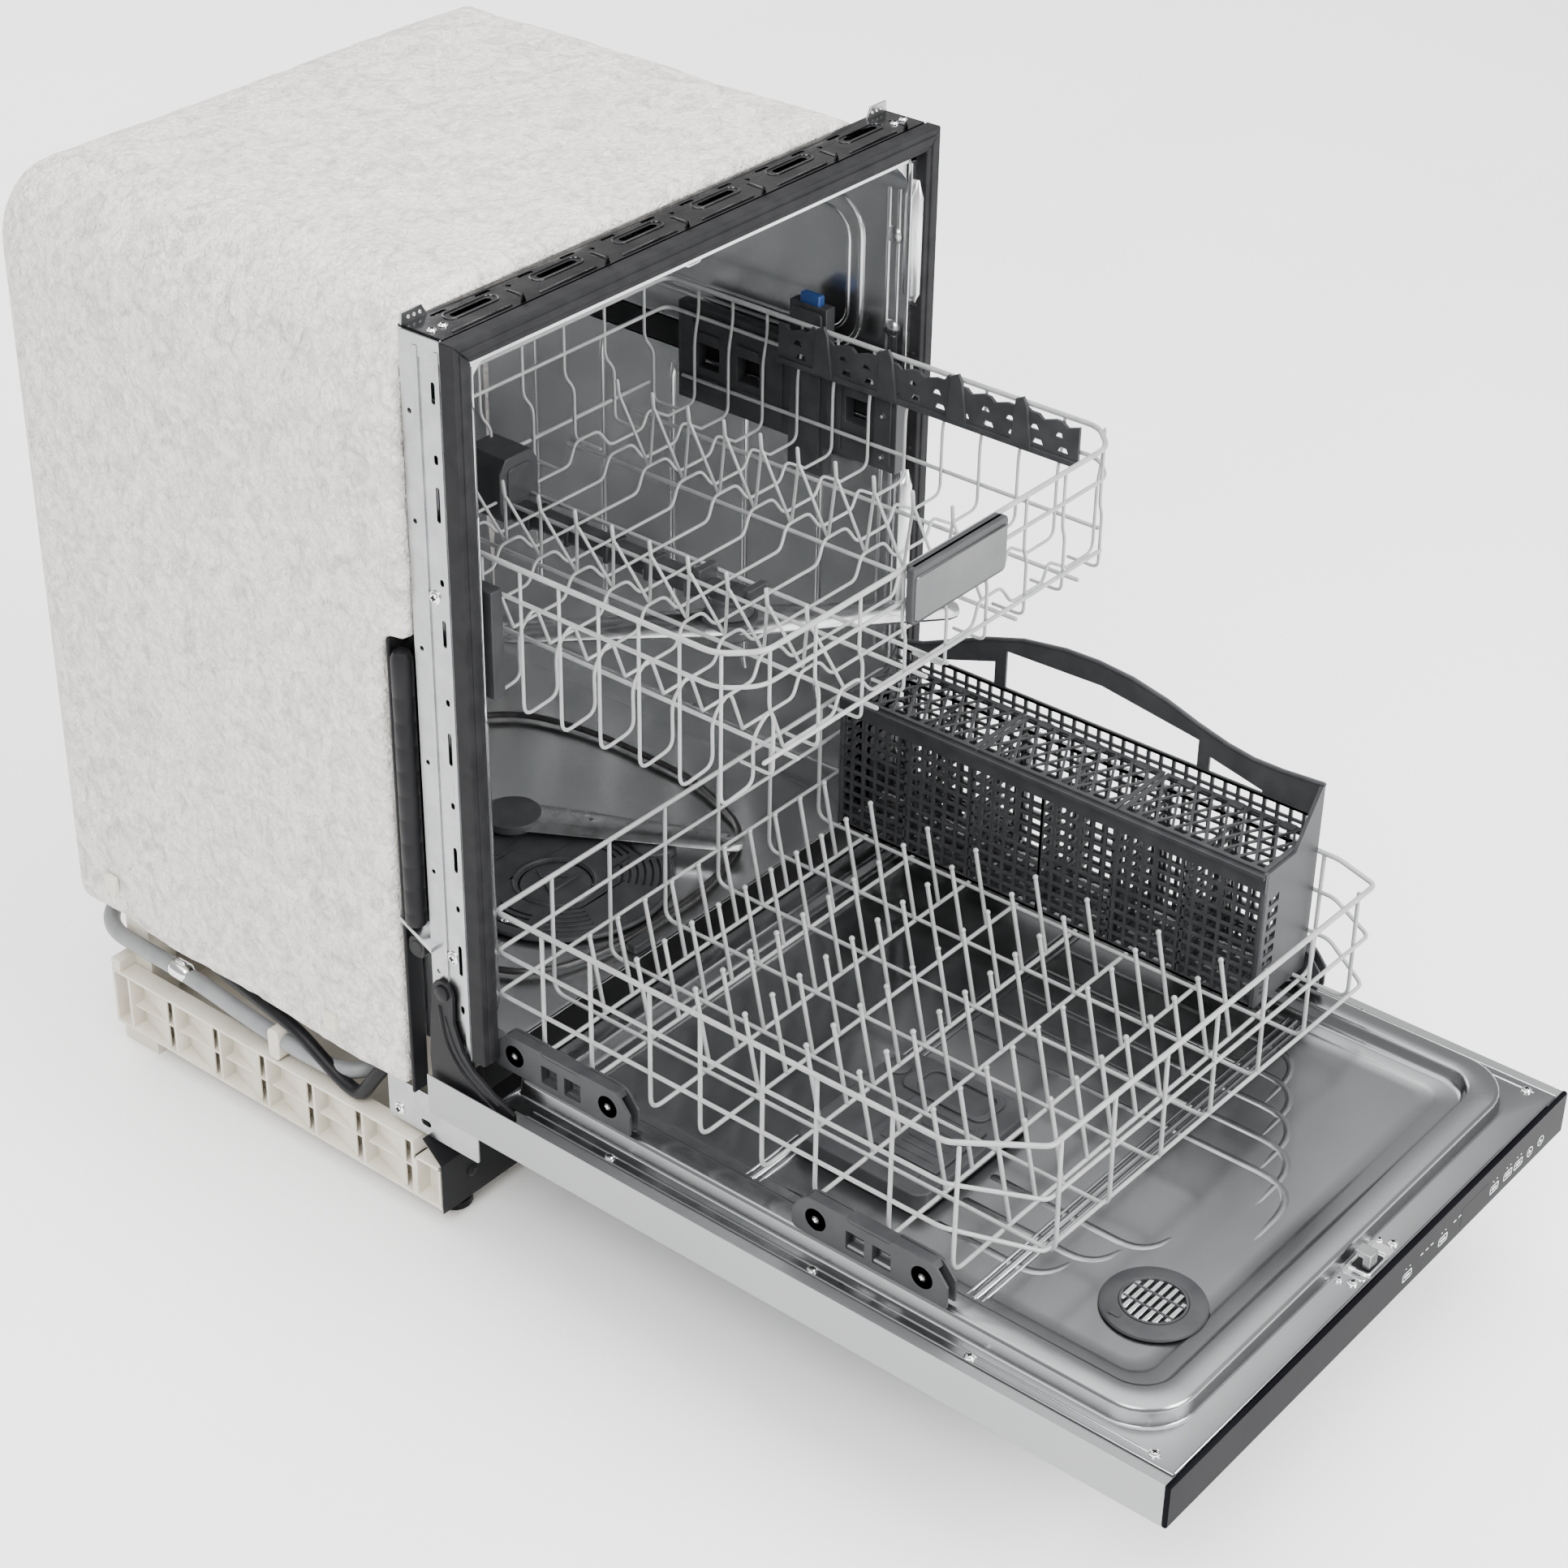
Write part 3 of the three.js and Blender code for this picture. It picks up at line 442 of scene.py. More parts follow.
def blanket():
    """The CAD blanket remeshed, made uneven in three sizes and drawn in at its corners."""
    low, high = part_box("insulation_blanket")
    source = frame["nodes"]["insulation_blanket"]
    mesh = source.data.copy()
    mesh.name = "felt_blanket"
    tidy(mesh, 30, weld=True)
    rise, reach = 17 * MM, 60 * MM                    # the lower edge climbs towards the back
    for vertex in mesh.vertices:
        near = max(0.0, 1 - (vertex.co.z - low.z) / reach)
        vertex.co.z += near * rise * (vertex.co.y - low.y) / (high.y - low.y)
    piece = bpy.data.objects.new("felt_blanket", mesh)
    bpy.context.scene.collection.objects.link(piece)
    remesh = piece.modifiers.new("remesh", "REMESH")
    remesh.mode = "VOXEL"
    remesh.voxel_size = FELT_VOXEL
    smooth = piece.modifiers.new("smooth", "SMOOTH")
    smooth.iterations = 5
    for label, size, strength in FELT_CLOUDS:
        cloud = bpy.data.textures.new(label, "CLOUDS")
        cloud.noise_scale = size
        displace = piece.modifiers.new(label, "DISPLACE")
        displace.texture = cloud
        displace.texture_coords = "LOCAL"
        displace.strength = strength * MM
        displace.mid_level = 0.62
    final = bpy.data.meshes.new_from_object(piece.evaluated_get(bpy.context.evaluated_depsgraph_get()))
    for vertex in final.vertices:                     # softly rounded corners, sharper behind the front frame
        co = vertex.co
        corner = (30 + 50 * min(max((co.y - low.y) / 0.2, 0), 1)) * MM
        heart = Vector((min(max(co.x, low.x + corner), high.x - corner), min(co.y, high.y - corner),
                        min(co.z, high.z - corner)))
        away = co - heart
        reach = corner if vertex.normal.dot(away) > 0 else corner - 4 * MM
        if away.length > reach:
            vertex.co = heart + away.normalized() * reach
    piece.modifiers.clear()
    piece.data = final
    final.materials.clear()
    final.materials.append(FELT)
    final.shade_smooth()
    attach(piece, "cabinet")
    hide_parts("insulation_blanket")


blanket()
clips = Form()
for y, z in ((415, 190), (130, 172)):
    clips.box(-307, -301, y - 7, y + 7, z - 9, z + 9)
clips.make("felt_clips", "cabinet", FELT_CLIP, bevel=1.5)
flap = Form()                                         # the black mastic edge under the blanket's notch
for side in (-1, 1):
    x0, x1 = span(side, 281, 299)
    flap.box(x0, x1, 34.5, 38, 138, 588)
flap.make("mastic_edge", "cabinet", BLACK_PAINT, bevel=1.5)

# ---------------------------------------------------------------- tub
TUB_HALF, TUB_TOP, TUB_FRONT, TUB_BACK = 279.8, 840, -30, 487.7
tub = Form()
outer = rounded(-TUB_HALF, TUB_HALF, 189, TUB_TOP, (0, 0, 45, 45), 14)
inner = rounded(1.5 - TUB_HALF, TUB_HALF - 1.5, 189, TUB_TOP - 1.5, (0, 0, 43.5, 43.5), 14)
tub.skin([[(u, t, v) for u, v in outer[1:] + outer[:1] + inner[:1] + inner[:0:-1]] for t in (TUB_FRONT, TUB_BACK)])
tub.make("tub_wrapper_smooth", "cabinet", TUB_STEEL, replaces=("tub_wrapper",), angle=50)

WALL = TUB_HALF - 1.5
beads = Form()
for x in range(-210, 211, 60):
    beads.tube([(x, TUB_BACK + 1.2, 250), (x, TUB_BACK - 0.6, 262), (x, TUB_BACK - 0.6, 780),
                (x, TUB_BACK + 1.2, 792)], 3.6)
for x in (-236, -150, 150, 236):
    beads.tube([(x, TUB_BACK + 0.4, 215), (x, TUB_BACK + 0.4, 815)], 2.2)
for side in (-1, 1):
    for y in (60, 150, 240, 330, 420):
        beads.tube([(side * (WALL + 1.6), y, 262), (side * WALL, y, 274), (side * WALL, y, 545),
                    (side * (WALL + 1.6), y, 557)], 3.2)
    frame_outline = [(side * (WALL + 0.4), y, z) for y, z in rounded(20, 300, 636, 780, 34, 6)]
    beads.tube(frame_outline, 3.4, closed=True)
    inner_outline = [(side * (WALL + 0.8), y, z) for y, z in rounded(34, 286, 650, 766, 26, 6)]
    beads.tube(inner_outline, 2.4, closed=True)
    for y in (-20, -9):
        beads.tube([(side * (WALL + 1.2), y, 345), (side * (WALL + 1.2), y, 800)], 2.6)
beads.tube([(x, y, TUB_TOP - 1.2) for x, y in rounded(-200, 200, 40, 430, 60, 6)], 3, closed=True)
beads.make("tub_beads", "cabinet", TUB_STEEL, angle=60)

columns = Form()
for side in (-1, 1):
    def bulge(depth, reach, z):
        return [(side * (277 - depth * sin(pi * k / 12)), -37 - reach * cos(pi * k / 12), z) for k in range(13)]
    for depths, bottom, top in ((11, 244, 540), (9, 700, 815)):
        columns.skin([bulge(d, r, z) for d, r, z in ((1, 4, bottom), (depths, 9, bottom + 12), (depths, 9, top - 14),
                                                     (1, 4, top))])
    for z in (670, 758):
        columns.lathe(facing(side, [(0, 3), (9, 3), (9, 0.5), (8, -1.5), (5, -3.4), (0, -4)]),
                      (side * WALL, -16, z), "x")
columns.make("tub_front_columns", "cabinet", TUB_STEEL, angle=60)

bowl = Form()                                         # the tub floor, dished round the sump
FLOOR_HALF = WALL - 0.3
rings = []
for inset, z, radius in ((0, 193.5, 4), (0.5, 191.2, 6), (1.6, 190.4, 8), (6, 190.2, 12), (40, 190.0, 30)):
    rings.append([(x, y, z) for x, y in rounded(-FLOOR_HALF + inset, FLOOR_HALF - inset, TUB_FRONT + inset,
                                                TUB_BACK - 0.3 - inset, radius, 6)])
bottom = [[(x, y, z - 1.4) for x, y, z in ring] for ring in rings]
bowl.skin(rings[::-1] + bottom)
bowl.box(-FLOOR_HALF, FLOOR_HALF, TUB_FRONT, TUB_FRONT + 1.5, 160, 190.4)
for side in (-1, 1):
    x0, x1 = span(side, 236, 244)
    bowl.prism([(-20, 190.1), (470, 190.1), (462, 192.4), (-12, 192.4)], "x", x0, x1)
bowl.make("tub_floor_dished", "cabinet", TUB_STEEL, replaces=("tub_floor",), angle=50)

corners = Form()                                      # light plates in the opening's upper corners
for side in (-1, 1):
    arc = [(277 - 58 + 58 * cos(pi / 2 * k / 10), 842 - 58 + 58 * sin(pi / 2 * k / 10)) for k in range(11)]
    corners.prism(mirrored(side, [(278.5, 772), (277, 784)] + arc[1:] + [(206, 842), (206, 843.5), (278.5, 843.5)]),
                  "y", -35, -33.8)
    corners.box(*span(side, 268, 277.6), -37.5, -36, 246, 842)
    corners.box(*span(side, 267, 268.4), -40, -36, 246, 833)
corners.box(-276, 276, -37.5, -36, 833, 843)
corners.make("tub_lip", "cabinet", TUB_STEEL, bevel=0.5)

striker = Form()
striker.prism(rounded(-22, 22, -32, -8, 4), "z", 836.6, 838.4)
striker.tube(soften([(-9, -22, 837), (-9, -24, 824), (9, -24, 824), (9, -22, 837)], 4), 1.7)
striker.make("latch_striker", "cabinet", BRIGHT_STEEL, bevel=0.4)

# ---------------------------------------------------------------- seal and front frame
SEAL_BODY, SEAL_LIP = ("y", -48, -33), ("y", -49.4, -47)
seal = Form()
for side in (-1, 1):
    seal.prism(mirrored(side, [(277, 204), (295, 204), (295, 860.5), (277, 842.5)]), *SEAL_BODY)
    seal.prism(mirrored(side, [(283, 205), (289, 205), (289, 853.5), (283, 847.5)]), *SEAL_LIP)
seal.prism([(-277, 842.5), (277, 842.5), (295, 860.5), (-295, 860.5)], *SEAL_BODY)
seal.prism([(-282, 847.5), (282, 847.5), (289, 854.5), (-289, 854.5)], *SEAL_LIP)
for side in (-1, 1):
    x0, x1 = span(side, 276, 281)
    for z in range(286, 830, 46):
        seal.prism(circle(-41, z, 2.2, 10), "x", x0 - side * 0.8, x1)
seal.make("seal_trim", "cabinet", RUBBER, replaces=("tub_seal",), bevel=1.1)


def slot_hole(u, v, half, radius):
    return rounded(u - half, u + half, v - radius, v + radius, radius * 0.96, 4)


rail = Form()
rail_holes = [slot_hole(x, -8, 21, 3) for x in range(-235, 236, 94)]
rail_holes += [circle(x, -2, 2.4, 12) for x in range(-188, 189, 94)]
rail_holes += [slot_hole(x, 3, 8, 1.6) for x in range(-258, 259, 47)]
rail.prism(rounded(-292, 292, -32.7, 12, 1, 2), "z", 859.3, 861, rail_holes)
rail.prism(rounded(-291, 291, 836, 860, 1, 2), "y", -1, 0.6)
for x in range(-235, 236, 94):
    rail.tube([(u, v, 861) for u, v in rounded(x - 27, x + 27, -14.5, -1.5, 6.4, 5)], 1.0, 6, closed=True)
    rail.tube([(x + 40, -24, 861), (x + 40, -8, 861)], 1.3, 6)
    rail.prism([(x + 30, 860), (x + 36, 860), (x + 33, 868)], "y", -31.5, -30)
    rail.tube([(x - 40, -29, 861.2), (x + 22, -29, 861.2)], 1.1, 6)
rail.prism(rounded(-292, 292, 842, 860.6, 1, 2), "y", -32.7, -31.2)
rail.make("top_rail", "cabinet", DARK_RAIL, bevel=0.3)

cheeks = Form()
column_slots = ((815, 9), (760, 4), (722, 15), (655, 3), (610, 12), (548, 3), (505, 15), (452, 3), (400, 12),
                (352, 3), (300, 15), (250, 4), (205, 9))
for side in (-1, 1):
    x0, x1 = span(side, 290.4, 292)
    holes = [rounded(-24, -20, z - half, z + half, 1.9, 3) for z, half in column_slots]
    holes += [circle(4, z - 22, 2.2, 10) for z, _ in column_slots[::2]]
    cheeks.prism(rounded(-32.7, 12, 135, 861, 1, 2), "x", x0, x1, holes)
    cheeks.prism(rounded(-32.7, 75, 92, 137, 2, 2), "x", x0, x1, [slot_hole(30, 104, 6, 3)])
    fold0, fold1 = span(side, 291.6, 293.4)
    for y in (-28, -6):
        cheeks.prism(rect(y - 2.2, y + 2.2, 150, 850), "x", fold0, fold1)
    web0, web1 = span(side, 280.2, 291)
    cheeks.box(web0, web1, -1, 0.6, 200, 860)
    ear0, ear1 = span(side, 264, 292)
    cheeks.prism([(ear0, 860), (ear1, 860), (ear1 - 1, 870.5), (ear0 + 6, 870.5)] if side > 0 else
                 [(ear0, 860), (ear1, 860), (ear1 - 6, 870.5), (ear0 + 1, 870.5)], "y", 8, 9.6,
                 [circle((ear0 + ear1) / 2 + 6 * k, 865.4, 1.6, 10) for k in (-1, 0, 1)])
    cheeks.prism(rounded(-31, 9, 841, 859, 1, 2), "x", *span(side, 292, 292.8))
cheeks.make("front_frame_cheeks", "cabinet", GALVANISED, replaces=("front_frame",), bevel=0.35)

fixings = Form()
for side in (-1, 1):
    for y, z in ((62, 104), (-14, 640), (-14, 300)):
        fixings.screw((side * 292.6, y, z), "x", side, 4.6)
    for x in (272, 284):
        fixings.screw((side * x, -16, 861.2), "z", 1, 3)
    fixings.screw((side * 293, 30, 560), "x", side, 5.4)
# black paint as finish 1 is painted shade in the screws' cross recesses
fixings.make("frame_screws", "cabinet", BRIGHT_STEEL, BLACK_PAINT)

# ---------------------------------------------------------------- door springs and hinges
SPRING_X = 293.5
springs = Form()
hangers = Form()
for side in (-1, 1):
    x = side * SPRING_X
    profile = [(0, 318), (8.5, 318), (9.4, 322)]
    for z in range(330, 560, 23):
        profile += [(9.4, z), (9.0, z + 1.5), (9.4, z + 3)]
    profile += [(9.4, 572), (7, 578), (0, 580)]
    springs.lathe(profile, (x, 26, 0), "z", 20)
    springs.tube([(x, 26, 322), (x, 25, 296)], 3.2)
    springs.prism(rounded(15, 33, 286, 306, 7, 5), "x", *span(side, 291, 297))
    springs.lathe([(0, -4), (6, -4), (7, 0), (6, 4), (0, 4)], (x, 24, 296), "x", 20)
    hangers.prism([(4, 300), (40, 318), (40, 322), (4, 304)], "x", *span(side, 281, 300))
    hangers.prism(rect(37, 41, 150, 588), "x", *span(side, 280.5, 288))
springs.make("door_springs", "cabinet", BLACK_PAINT, angle=50, bevel=0.4)
hangers.make("spring_hangers", "cabinet", GALVANISED, bevel=0.5)

LEVER_X = 297                                        # outer face of the hinge levers
for name, side in SIDES:
    arm = Form()
    front = [(-82, 150), (8, 141), (13, 160), (14.5, 190), (12, 225)]
    top = [(-4 + 12 * cos(pi * k / 8), 262 + 12 * sin(pi * k / 8)) for k in range(9)]
    back = [(-15, 235), (-24, 211), (-36, 196), (-56, 184), (-82, 172)]
    arm.prism(front + top + back, "x", *span(side, 294, 297.4), [circle(-4, 262, 3.6, 14)])
    for radius, ridge in ((2.2, ((0, 246), (-4, 214), (-20, 190), (-60, 166))),
                          (1.5, ((-6, 238), (-14, 212), (-30, 192), (-64, 174)))):
        arm.tube(soften([(side * LEVER_X, y, z) for y, z in ridge], 24), radius)
    arm.lathe(facing(side, [(0, -2), (7.5, -2), (7.5, 2.6), (5, 3.6), (0, 4)]), (side * LEVER_X, -4, 262), "x", 20)
    for y, z in ((-10, 156), (-44, 160)):
        arm.lathe(facing(side, [(0, -1), (4.4, -1), (4.4, 1.8), (0, 2.4)]), (side * 297.4, y, z), "x", 14)
    arm.make(f"hinge_lever_{name}", "door", BLACK_PAINT, replaces=(f"hinge_arm_{name}",), bevel=0.7, angle=45)

# ---------------------------------------------------------------- base, hose, works
refine("base_pan", CREAM, 0.9)
extra = Form()                                        # the base's finer cells and its diagonal webs
for side in (-1, 1):
    for y in range(52, 420, 62):
        x0, x1 = span(side, 284, 298.4)
        extra.prism([(x0, y), (x0 + 2, y), (x1, y + 46), (x1 - 2, y + 46)], "z", 26, 81)
        extra.box(x0, x1, y - 8, y + 46, 52, 54)
    x0, x1 = span(side, 284, 299.6)
    extra.box(x0, x1, 9, 40, 65, 68)
    extra.box(x0, x1, 9, 11.4, 23, 68)
    extra.box(x0, x1, 37, 40, 23, 68)
    extra.box(*span(side, 262, 299.6), 424, 436, 84, 96)
extra.make("base_cells", "cabinet", CREAM, bevel=0.5)
refine("toe_kick", BLACK_PAINT, 0.5)
toe_screws = Form()
for side in (-1, 1):
    toe_screws.screw((side * 262, 6.4, 46), "y", -1, 5)
toe_screws.make("toe_kick_screws", "cabinet", BLACK_PAINT, HEATER)
for name, _ in SIDES:
    refine(f"levelling_leg_{name}", BLACK_PAINT, 0.8)
refine("wash_motor", BLACK_PAINT, 2.0, 3)

HOSE_ROUTE = [(-66, 190, 165), (-110, 178, 165), (-175, 158, 150), (-232, 138, 122), (-268, 118, 106),
              (-287, 140, 102), (-290, 175, 103), (-290, 220, 104), (-290, 265, 108), (-290, 310, 114),
              (-290, 360, 118), (-290, 405, 118), (-286, 446, 116), (-262, 476, 114), (-215, 496, 112),
              (-165, 502, 112)]
hose = Form()
hose.tube(soften(HOSE_ROUTE, 26, 6), 8, 14)
hose.make("drain_hose_smooth", "cabinet", HOSE, replaces=("drain_hose",), angle=60)
clamps = Form()
clamps.tube([(-290, 338, 118), (-290, 352, 118)], 9.4, 18)
clamps.tube([(-290, 341, 127), (-290, 349, 127)], 3, 8)
clamps.tube([(-181, 501, 112), (-160, 502.2, 112)], 9.6, 18)
clamps.make("hose_clamps", "cabinet", BRIGHT_STEEL, angle=60)
loom = Form()
loom.tube(soften([(-284, 300, 140), (-291, 190, 126), (-291, 134, 96), (-291, 112, 92), (-288, 92, 124),
                  (-284, 78, 142)], 16, 5), 6.5, 12)
loom.make("inlet_loop", "cabinet", BLACK_PAINT, angle=60)
hose_clip = Form()
hose_clip.prism(rounded(208, 222, 86, 118, 5), "x", -299.4, -280)
hose_clip.make("hose_clip", "cabinet", CREAM, bevel=1)

# ---------------------------------------------------------------- sump
FILTER, CUP = (-32, 108), (-44, 104)
plate = Form()
plate_holes = [circle(*CUP, 34.8, 40)]
for radius in (56, 63, 70, 77, 84, 91):
    for start in (-62, -20, 128, 170, 212):
        if radius < 70 and start in (128, 170):
            continue
        arc = [radians(start + 3.4 * k) for k in range(10)]
        slit = [(FILTER[0] + (radius - 1.2) * cos(a), FILTER[1] + (radius - 1.2) * sin(a)) for a in arc]
        slit += [(FILTER[0] + (radius + 1.2) * cos(a), FILTER[1] + (radius + 1.2) * sin(a)) for a in arc[::-1]]
        plate_holes.append(slit)
plate.prism(circle(*FILTER, 104, 72), "z", 192.6, 195.4, plate_holes)
plate.prism(circle(*FILTER, 99, 60), "z", 190.9, 191.6, [circle(*CUP, 36, 30)])
plate.tube([(u, v, 194.6) for u, v in circle(*FILTER, 102, 72)], 2.2, closed=True)
plate.tube([(u, v, 195.2) for u, v in circle(*CUP, 38, 40)], 2.0, closed=True)
plate.make("filter_screen", "cabinet", DARK_PLASTIC, replaces=("filter_plate",), bevel=0.25)
cup = Form()
cup.lathe([(0, 152), (33, 152), (34, 156), (34, 191), (33, 194), (26, 196), (12, 196.4), (0, 196.4)], (*CUP, 0))
grip_outer, grip_hole = [[(CUP[0] + reach * cos(radians(a)), CUP[1] + reach * sin(radians(a)))
                          for a in (90, 210, 330)] for reach in (23, 13)]
cup.prism(grip_outer, "z", 196, 198.5, [grip_hole])
cup.make("filter_cup_handle", "filter_cup", DARK_PLASTIC, replaces=("filter_cup",), bevel=0.8)
sump_screws = Form()
for x, y in ((-92, 172), (-118, 96), (28, 168), (46, 84)):
    sump_screws.screw((x, y, 195.4), "z", 1, 3.6)
# black paint as finish 1 is painted shade in the screws' cross recesses
sump_screws.make("sump_screws", "cabinet", BRIGHT_STEEL, BLACK_PAINT)
HEATER_Z = 196.2
HEATER_ROUTE = [(-14, 388), (-80, 380), (-165, 340), (-196, 250), (-198, 120), (-170, 20), (-90, -8), (40, -8),
                (130, 20), (170, 120), (172, 250), (150, 340), (80, 380), (14, 388)]
heater = Form()
heater_points = [(-14, 388, 191)] + [(x, y, HEATER_Z) for x, y in HEATER_ROUTE] + [(14, 388, 191)]
heater.tube(soften(heater_points, 40, 6), 3.2, 12)
heater.make("heating_loop", "cabinet", HEATER, replaces=("heating_element",), angle=60)
float_cap = Form()
float_cap.lathe([(0, 190), (20, 190), (21, 193), (20, 198), (15, 200), (0, 200.6)], (59, 75, 0))
float_cap.prism(rounded(-78, -54, -24, -12, 3), "z", 190.6, 199)
float_cap.make("overfill_float", "cabinet", DARK_PLASTIC, bevel=0.8)


# ---------------------------------------------------------------- spray arms
def spray_arm(name, x, y, low, high, half, turn, hub, hub_low, hub_high):
    arm = Form()
    direction = radians(turn)
    along, across = Vector((cos(direction), sin(direction), 0)), Vector((-sin(direction), cos(direction), 0))
    rings = []
    for t, width, crown in ((-1, 7, 0.55), (-0.985, 12, 0.8), (-0.95, 15.5, 1), (-0.5, 19.5, 1), (-0.1, 24, 1),
                            (0.1, 24, 1), (0.5, 19.5, 1), (0.95, 15.5, 1), (0.985, 12, 0.8), (1, 7, 0.55)):
        base = Vector((x, y, 0)) + along * half * t
        middle = (low + high) / 2
        rise = (high - low) / 2 * crown
        section = [(-1, 0), (-0.86, -0.8), (0, -1), (0.86, -0.8), (1, 0), (0.8, 0.62), (0.3, 1), (-0.3, 1),
                   (-0.8, 0.62)]
        rings.append([base + across * width * u + Vector((0, 0, middle + rise * v)) for u, v in section])
    arm.skin(rings)
    arm.lathe([(0, hub_low), (hub, hub_low), (hub + 1, hub_low + 2), (hub, hub_high - 2), (hub - 6, hub_high),
               (0, hub_high)], (x, y, 0), part=1)
    for t in (-0.93, -0.8, -0.66, -0.5, -0.34, 0.34, 0.5, 0.66, 0.8, 0.93):
        spot = Vector((x, y, 0)) + along * half * t + across * (4 if t > 0 else -4)
        arm.prism(circle(spot.x, spot.y, 2.1, 12), "z", high - 1, high + 0.25, part=1)
    arm.make(name + "_blade", name, ARM_STEEL, DARK_PLASTIC, replaces=(name,), bevel=0.4, angle=30)


spray_arm("upper_spray_arm", 0, -65, 508, 517, 195, -43, 24, 504, 521)
spray_arm("lower_spray_arm", 0, 200, 201.5, 209, 222, -62, 28, 200.5, 211)

# ---------------------------------------------------------------- upper rack
RIM, WIRE, FINE = 2.4, 1.9, 1.45                      # wire radii
(UX0, UX1), (UY0, UY1) = layout_box("upper_rack_floor")[:2]
U_LOW = layout_box("upper_rack_floor")[2][0]
U_HIGH = layout_box("upper_rack_left")[2][1]
U_FLOOR, U_MID, U_SIDE, HOOK = U_LOW + 5, 634, 566, 531
PITCH = 40.5


def rack_nodes(rack):
    return tuple(f"{rack}_rack_{part}" for part in ("floor", "left", "right", "front", "back"))


def hoop(form, x0, x1, y0, y1, z, radius, chamfer):
    """A closed wire round a rack, with its two front corners cut off."""
    outline = [(x0, y1), (x0, y0 + chamfer), (x0 + chamfer, y0), (x1 - chamfer, y0), (x1, y0 + chamfer), (x1, y1)]
    form.tube(soften([(x, y, z) for x, y in outline], 12, 4, closed=True), radius, closed=True)


upper = Form()
ux0, ux1, uy0, uy1 = UX0 + 2.6, UX1 - 2.6, UY0 + 2.6, UY1 - 2.6
hoop(upper, ux0, ux1, uy0, uy1, U_HIGH - RIM, RIM, chamfer=26)
hoop(upper, ux0, ux1, uy0, uy1, U_MID, WIRE, chamfer=24)
for y in (uy0, uy1):
    upper.tube([(ux0 + 26, y, U_SIDE), (ux1 - 26, y, U_SIDE)], WIRE)
upper.tube([(ux1, uy0 + 20, U_SIDE + 4), (ux1, uy1 - 20, U_SIDE + 4)], WIRE)
rows = [-264 + PITCH * k for k in range(12)]
for y in rows:                                        # cup hooks hang below the left side
    upper.tube(soften([(ux0, y, U_HIGH - 3), (ux0, y, HOOK), (ux0 + 42, y + 3, HOOK), (ux0 + 40, y + 2, 574),
                       (ux0 + 58, y, 592), (ux0 + 74, y, U_FLOOR)], 11), FINE)
    upper.tube(soften([(ux1, y, U_HIGH - 2), (ux1, y, U_MID + 6), (ux1 - 6, y, U_MID - 20), (ux1 - 6, y, U_FLOOR),
                       (ux1 - 44, y, U_FLOOR)], 10), FINE)
    wave = [(ux0 + 74, y, U_FLOOR)]
    for x, lift in ((-112, 0), (-100, 16), (-76, 16), (-64, 0), (70, 0), (82, 18), (112, 18), (124, 0), (168, 0),
                    (180, 14), (ux1 - 44, 0)):
        wave.append((x, y + (3 if lift else 0), U_FLOOR + lift))
    upper.tube(soften(wave, 6, 3), FINE, 7)
for x in range(-216, 217, 54):
    for y, out in ((uy0, 1), (uy1, -1)):
        upper.tube(soften([(x, y, U_HIGH - 2), (x, y, 612), (x + 9, y + out * 3, 598),
                           (x + 9, y + out * 3, U_LOW + 2), (x + 9, y + out * 34, U_LOW + 2)], 7), FINE)
for x in (-176, -78, -14, 14, 108, 196):
    upper.tube([(x, uy0 + 4, U_LOW + 2), (x, uy1 - 4, U_LOW + 2)], WIRE)
for base, tip, low, high in ((108, 88, 553, 640), (-76, -100, 553, 628)):
    zig = []                                          # a zig-zag of tines, each peak drawn on to a free tip
    for k in range(20):
        y = -245 + PITCH / 2 * k
        zig.append((tip + 3, y, high - 14) if k % 2 else (base, y, low))
        if k % 2:
            upper.tube([(tip + 3, y, high - 15), (tip, y - 1, high)], FINE + 0.3, 7)
    upper.tube(soften(zig, 5, 3), FINE, 7)
upper.make("upper_rack_wires", "upper_rack", NYLON, angle=60,
           replaces=rack_nodes("upper"))

grip = Form()
grip.prism(rounded(-60, 64, 618, 668, 5, 4), "y", -298, -291, part=1)
grip.prism(rounded(-57, 61, 621, 661, 3, 3), "y", -299.6, -297)
grip.box(-56, 60, -296, -287.3, 655, 668, part=1)
grip.make("rack_handle_face", "upper_rack", HANDLE_GREY, DARK_PLASTIC, replaces=("upper_rack_handle",), bevel=1.4,
          segments=3)

feed = Form()
feed.lathe([(0, 521.5), (20, 521.5), (20, 530), (17, 534), (19, 537), (19, 540), (0, 540)], (0, -65, 0))
feed.prism([(-8, 527), (8, 527), (12, 532), (11, 541), (6, 543), (-6, 543), (-11, 541), (-12, 532)], "y", -60, 218)
for y in range(-30, 200, 46):
    feed.box(-13.5, 13.5, y, y + 5, 526.5, 543.6)
feed.prism([(-20, 530), (20, 530), (24, 540), (24, 578), (16, 590), (-16, 590), (-24, 578), (-24, 540)],
           "y", 176, 222)
feed.prism(rounded(-15, 15, 546, 580, 6, 4), "y", 174.6, 177)
for y in (-92, -38):
    feed.prism(rounded(-12, 12, y - 4, y + 4, 2), "z", 539, 556)
feed.make("spray_feed", "upper_rack", DARK_PLASTIC, replaces=("rack_feed_tube",), bevel=1.0)

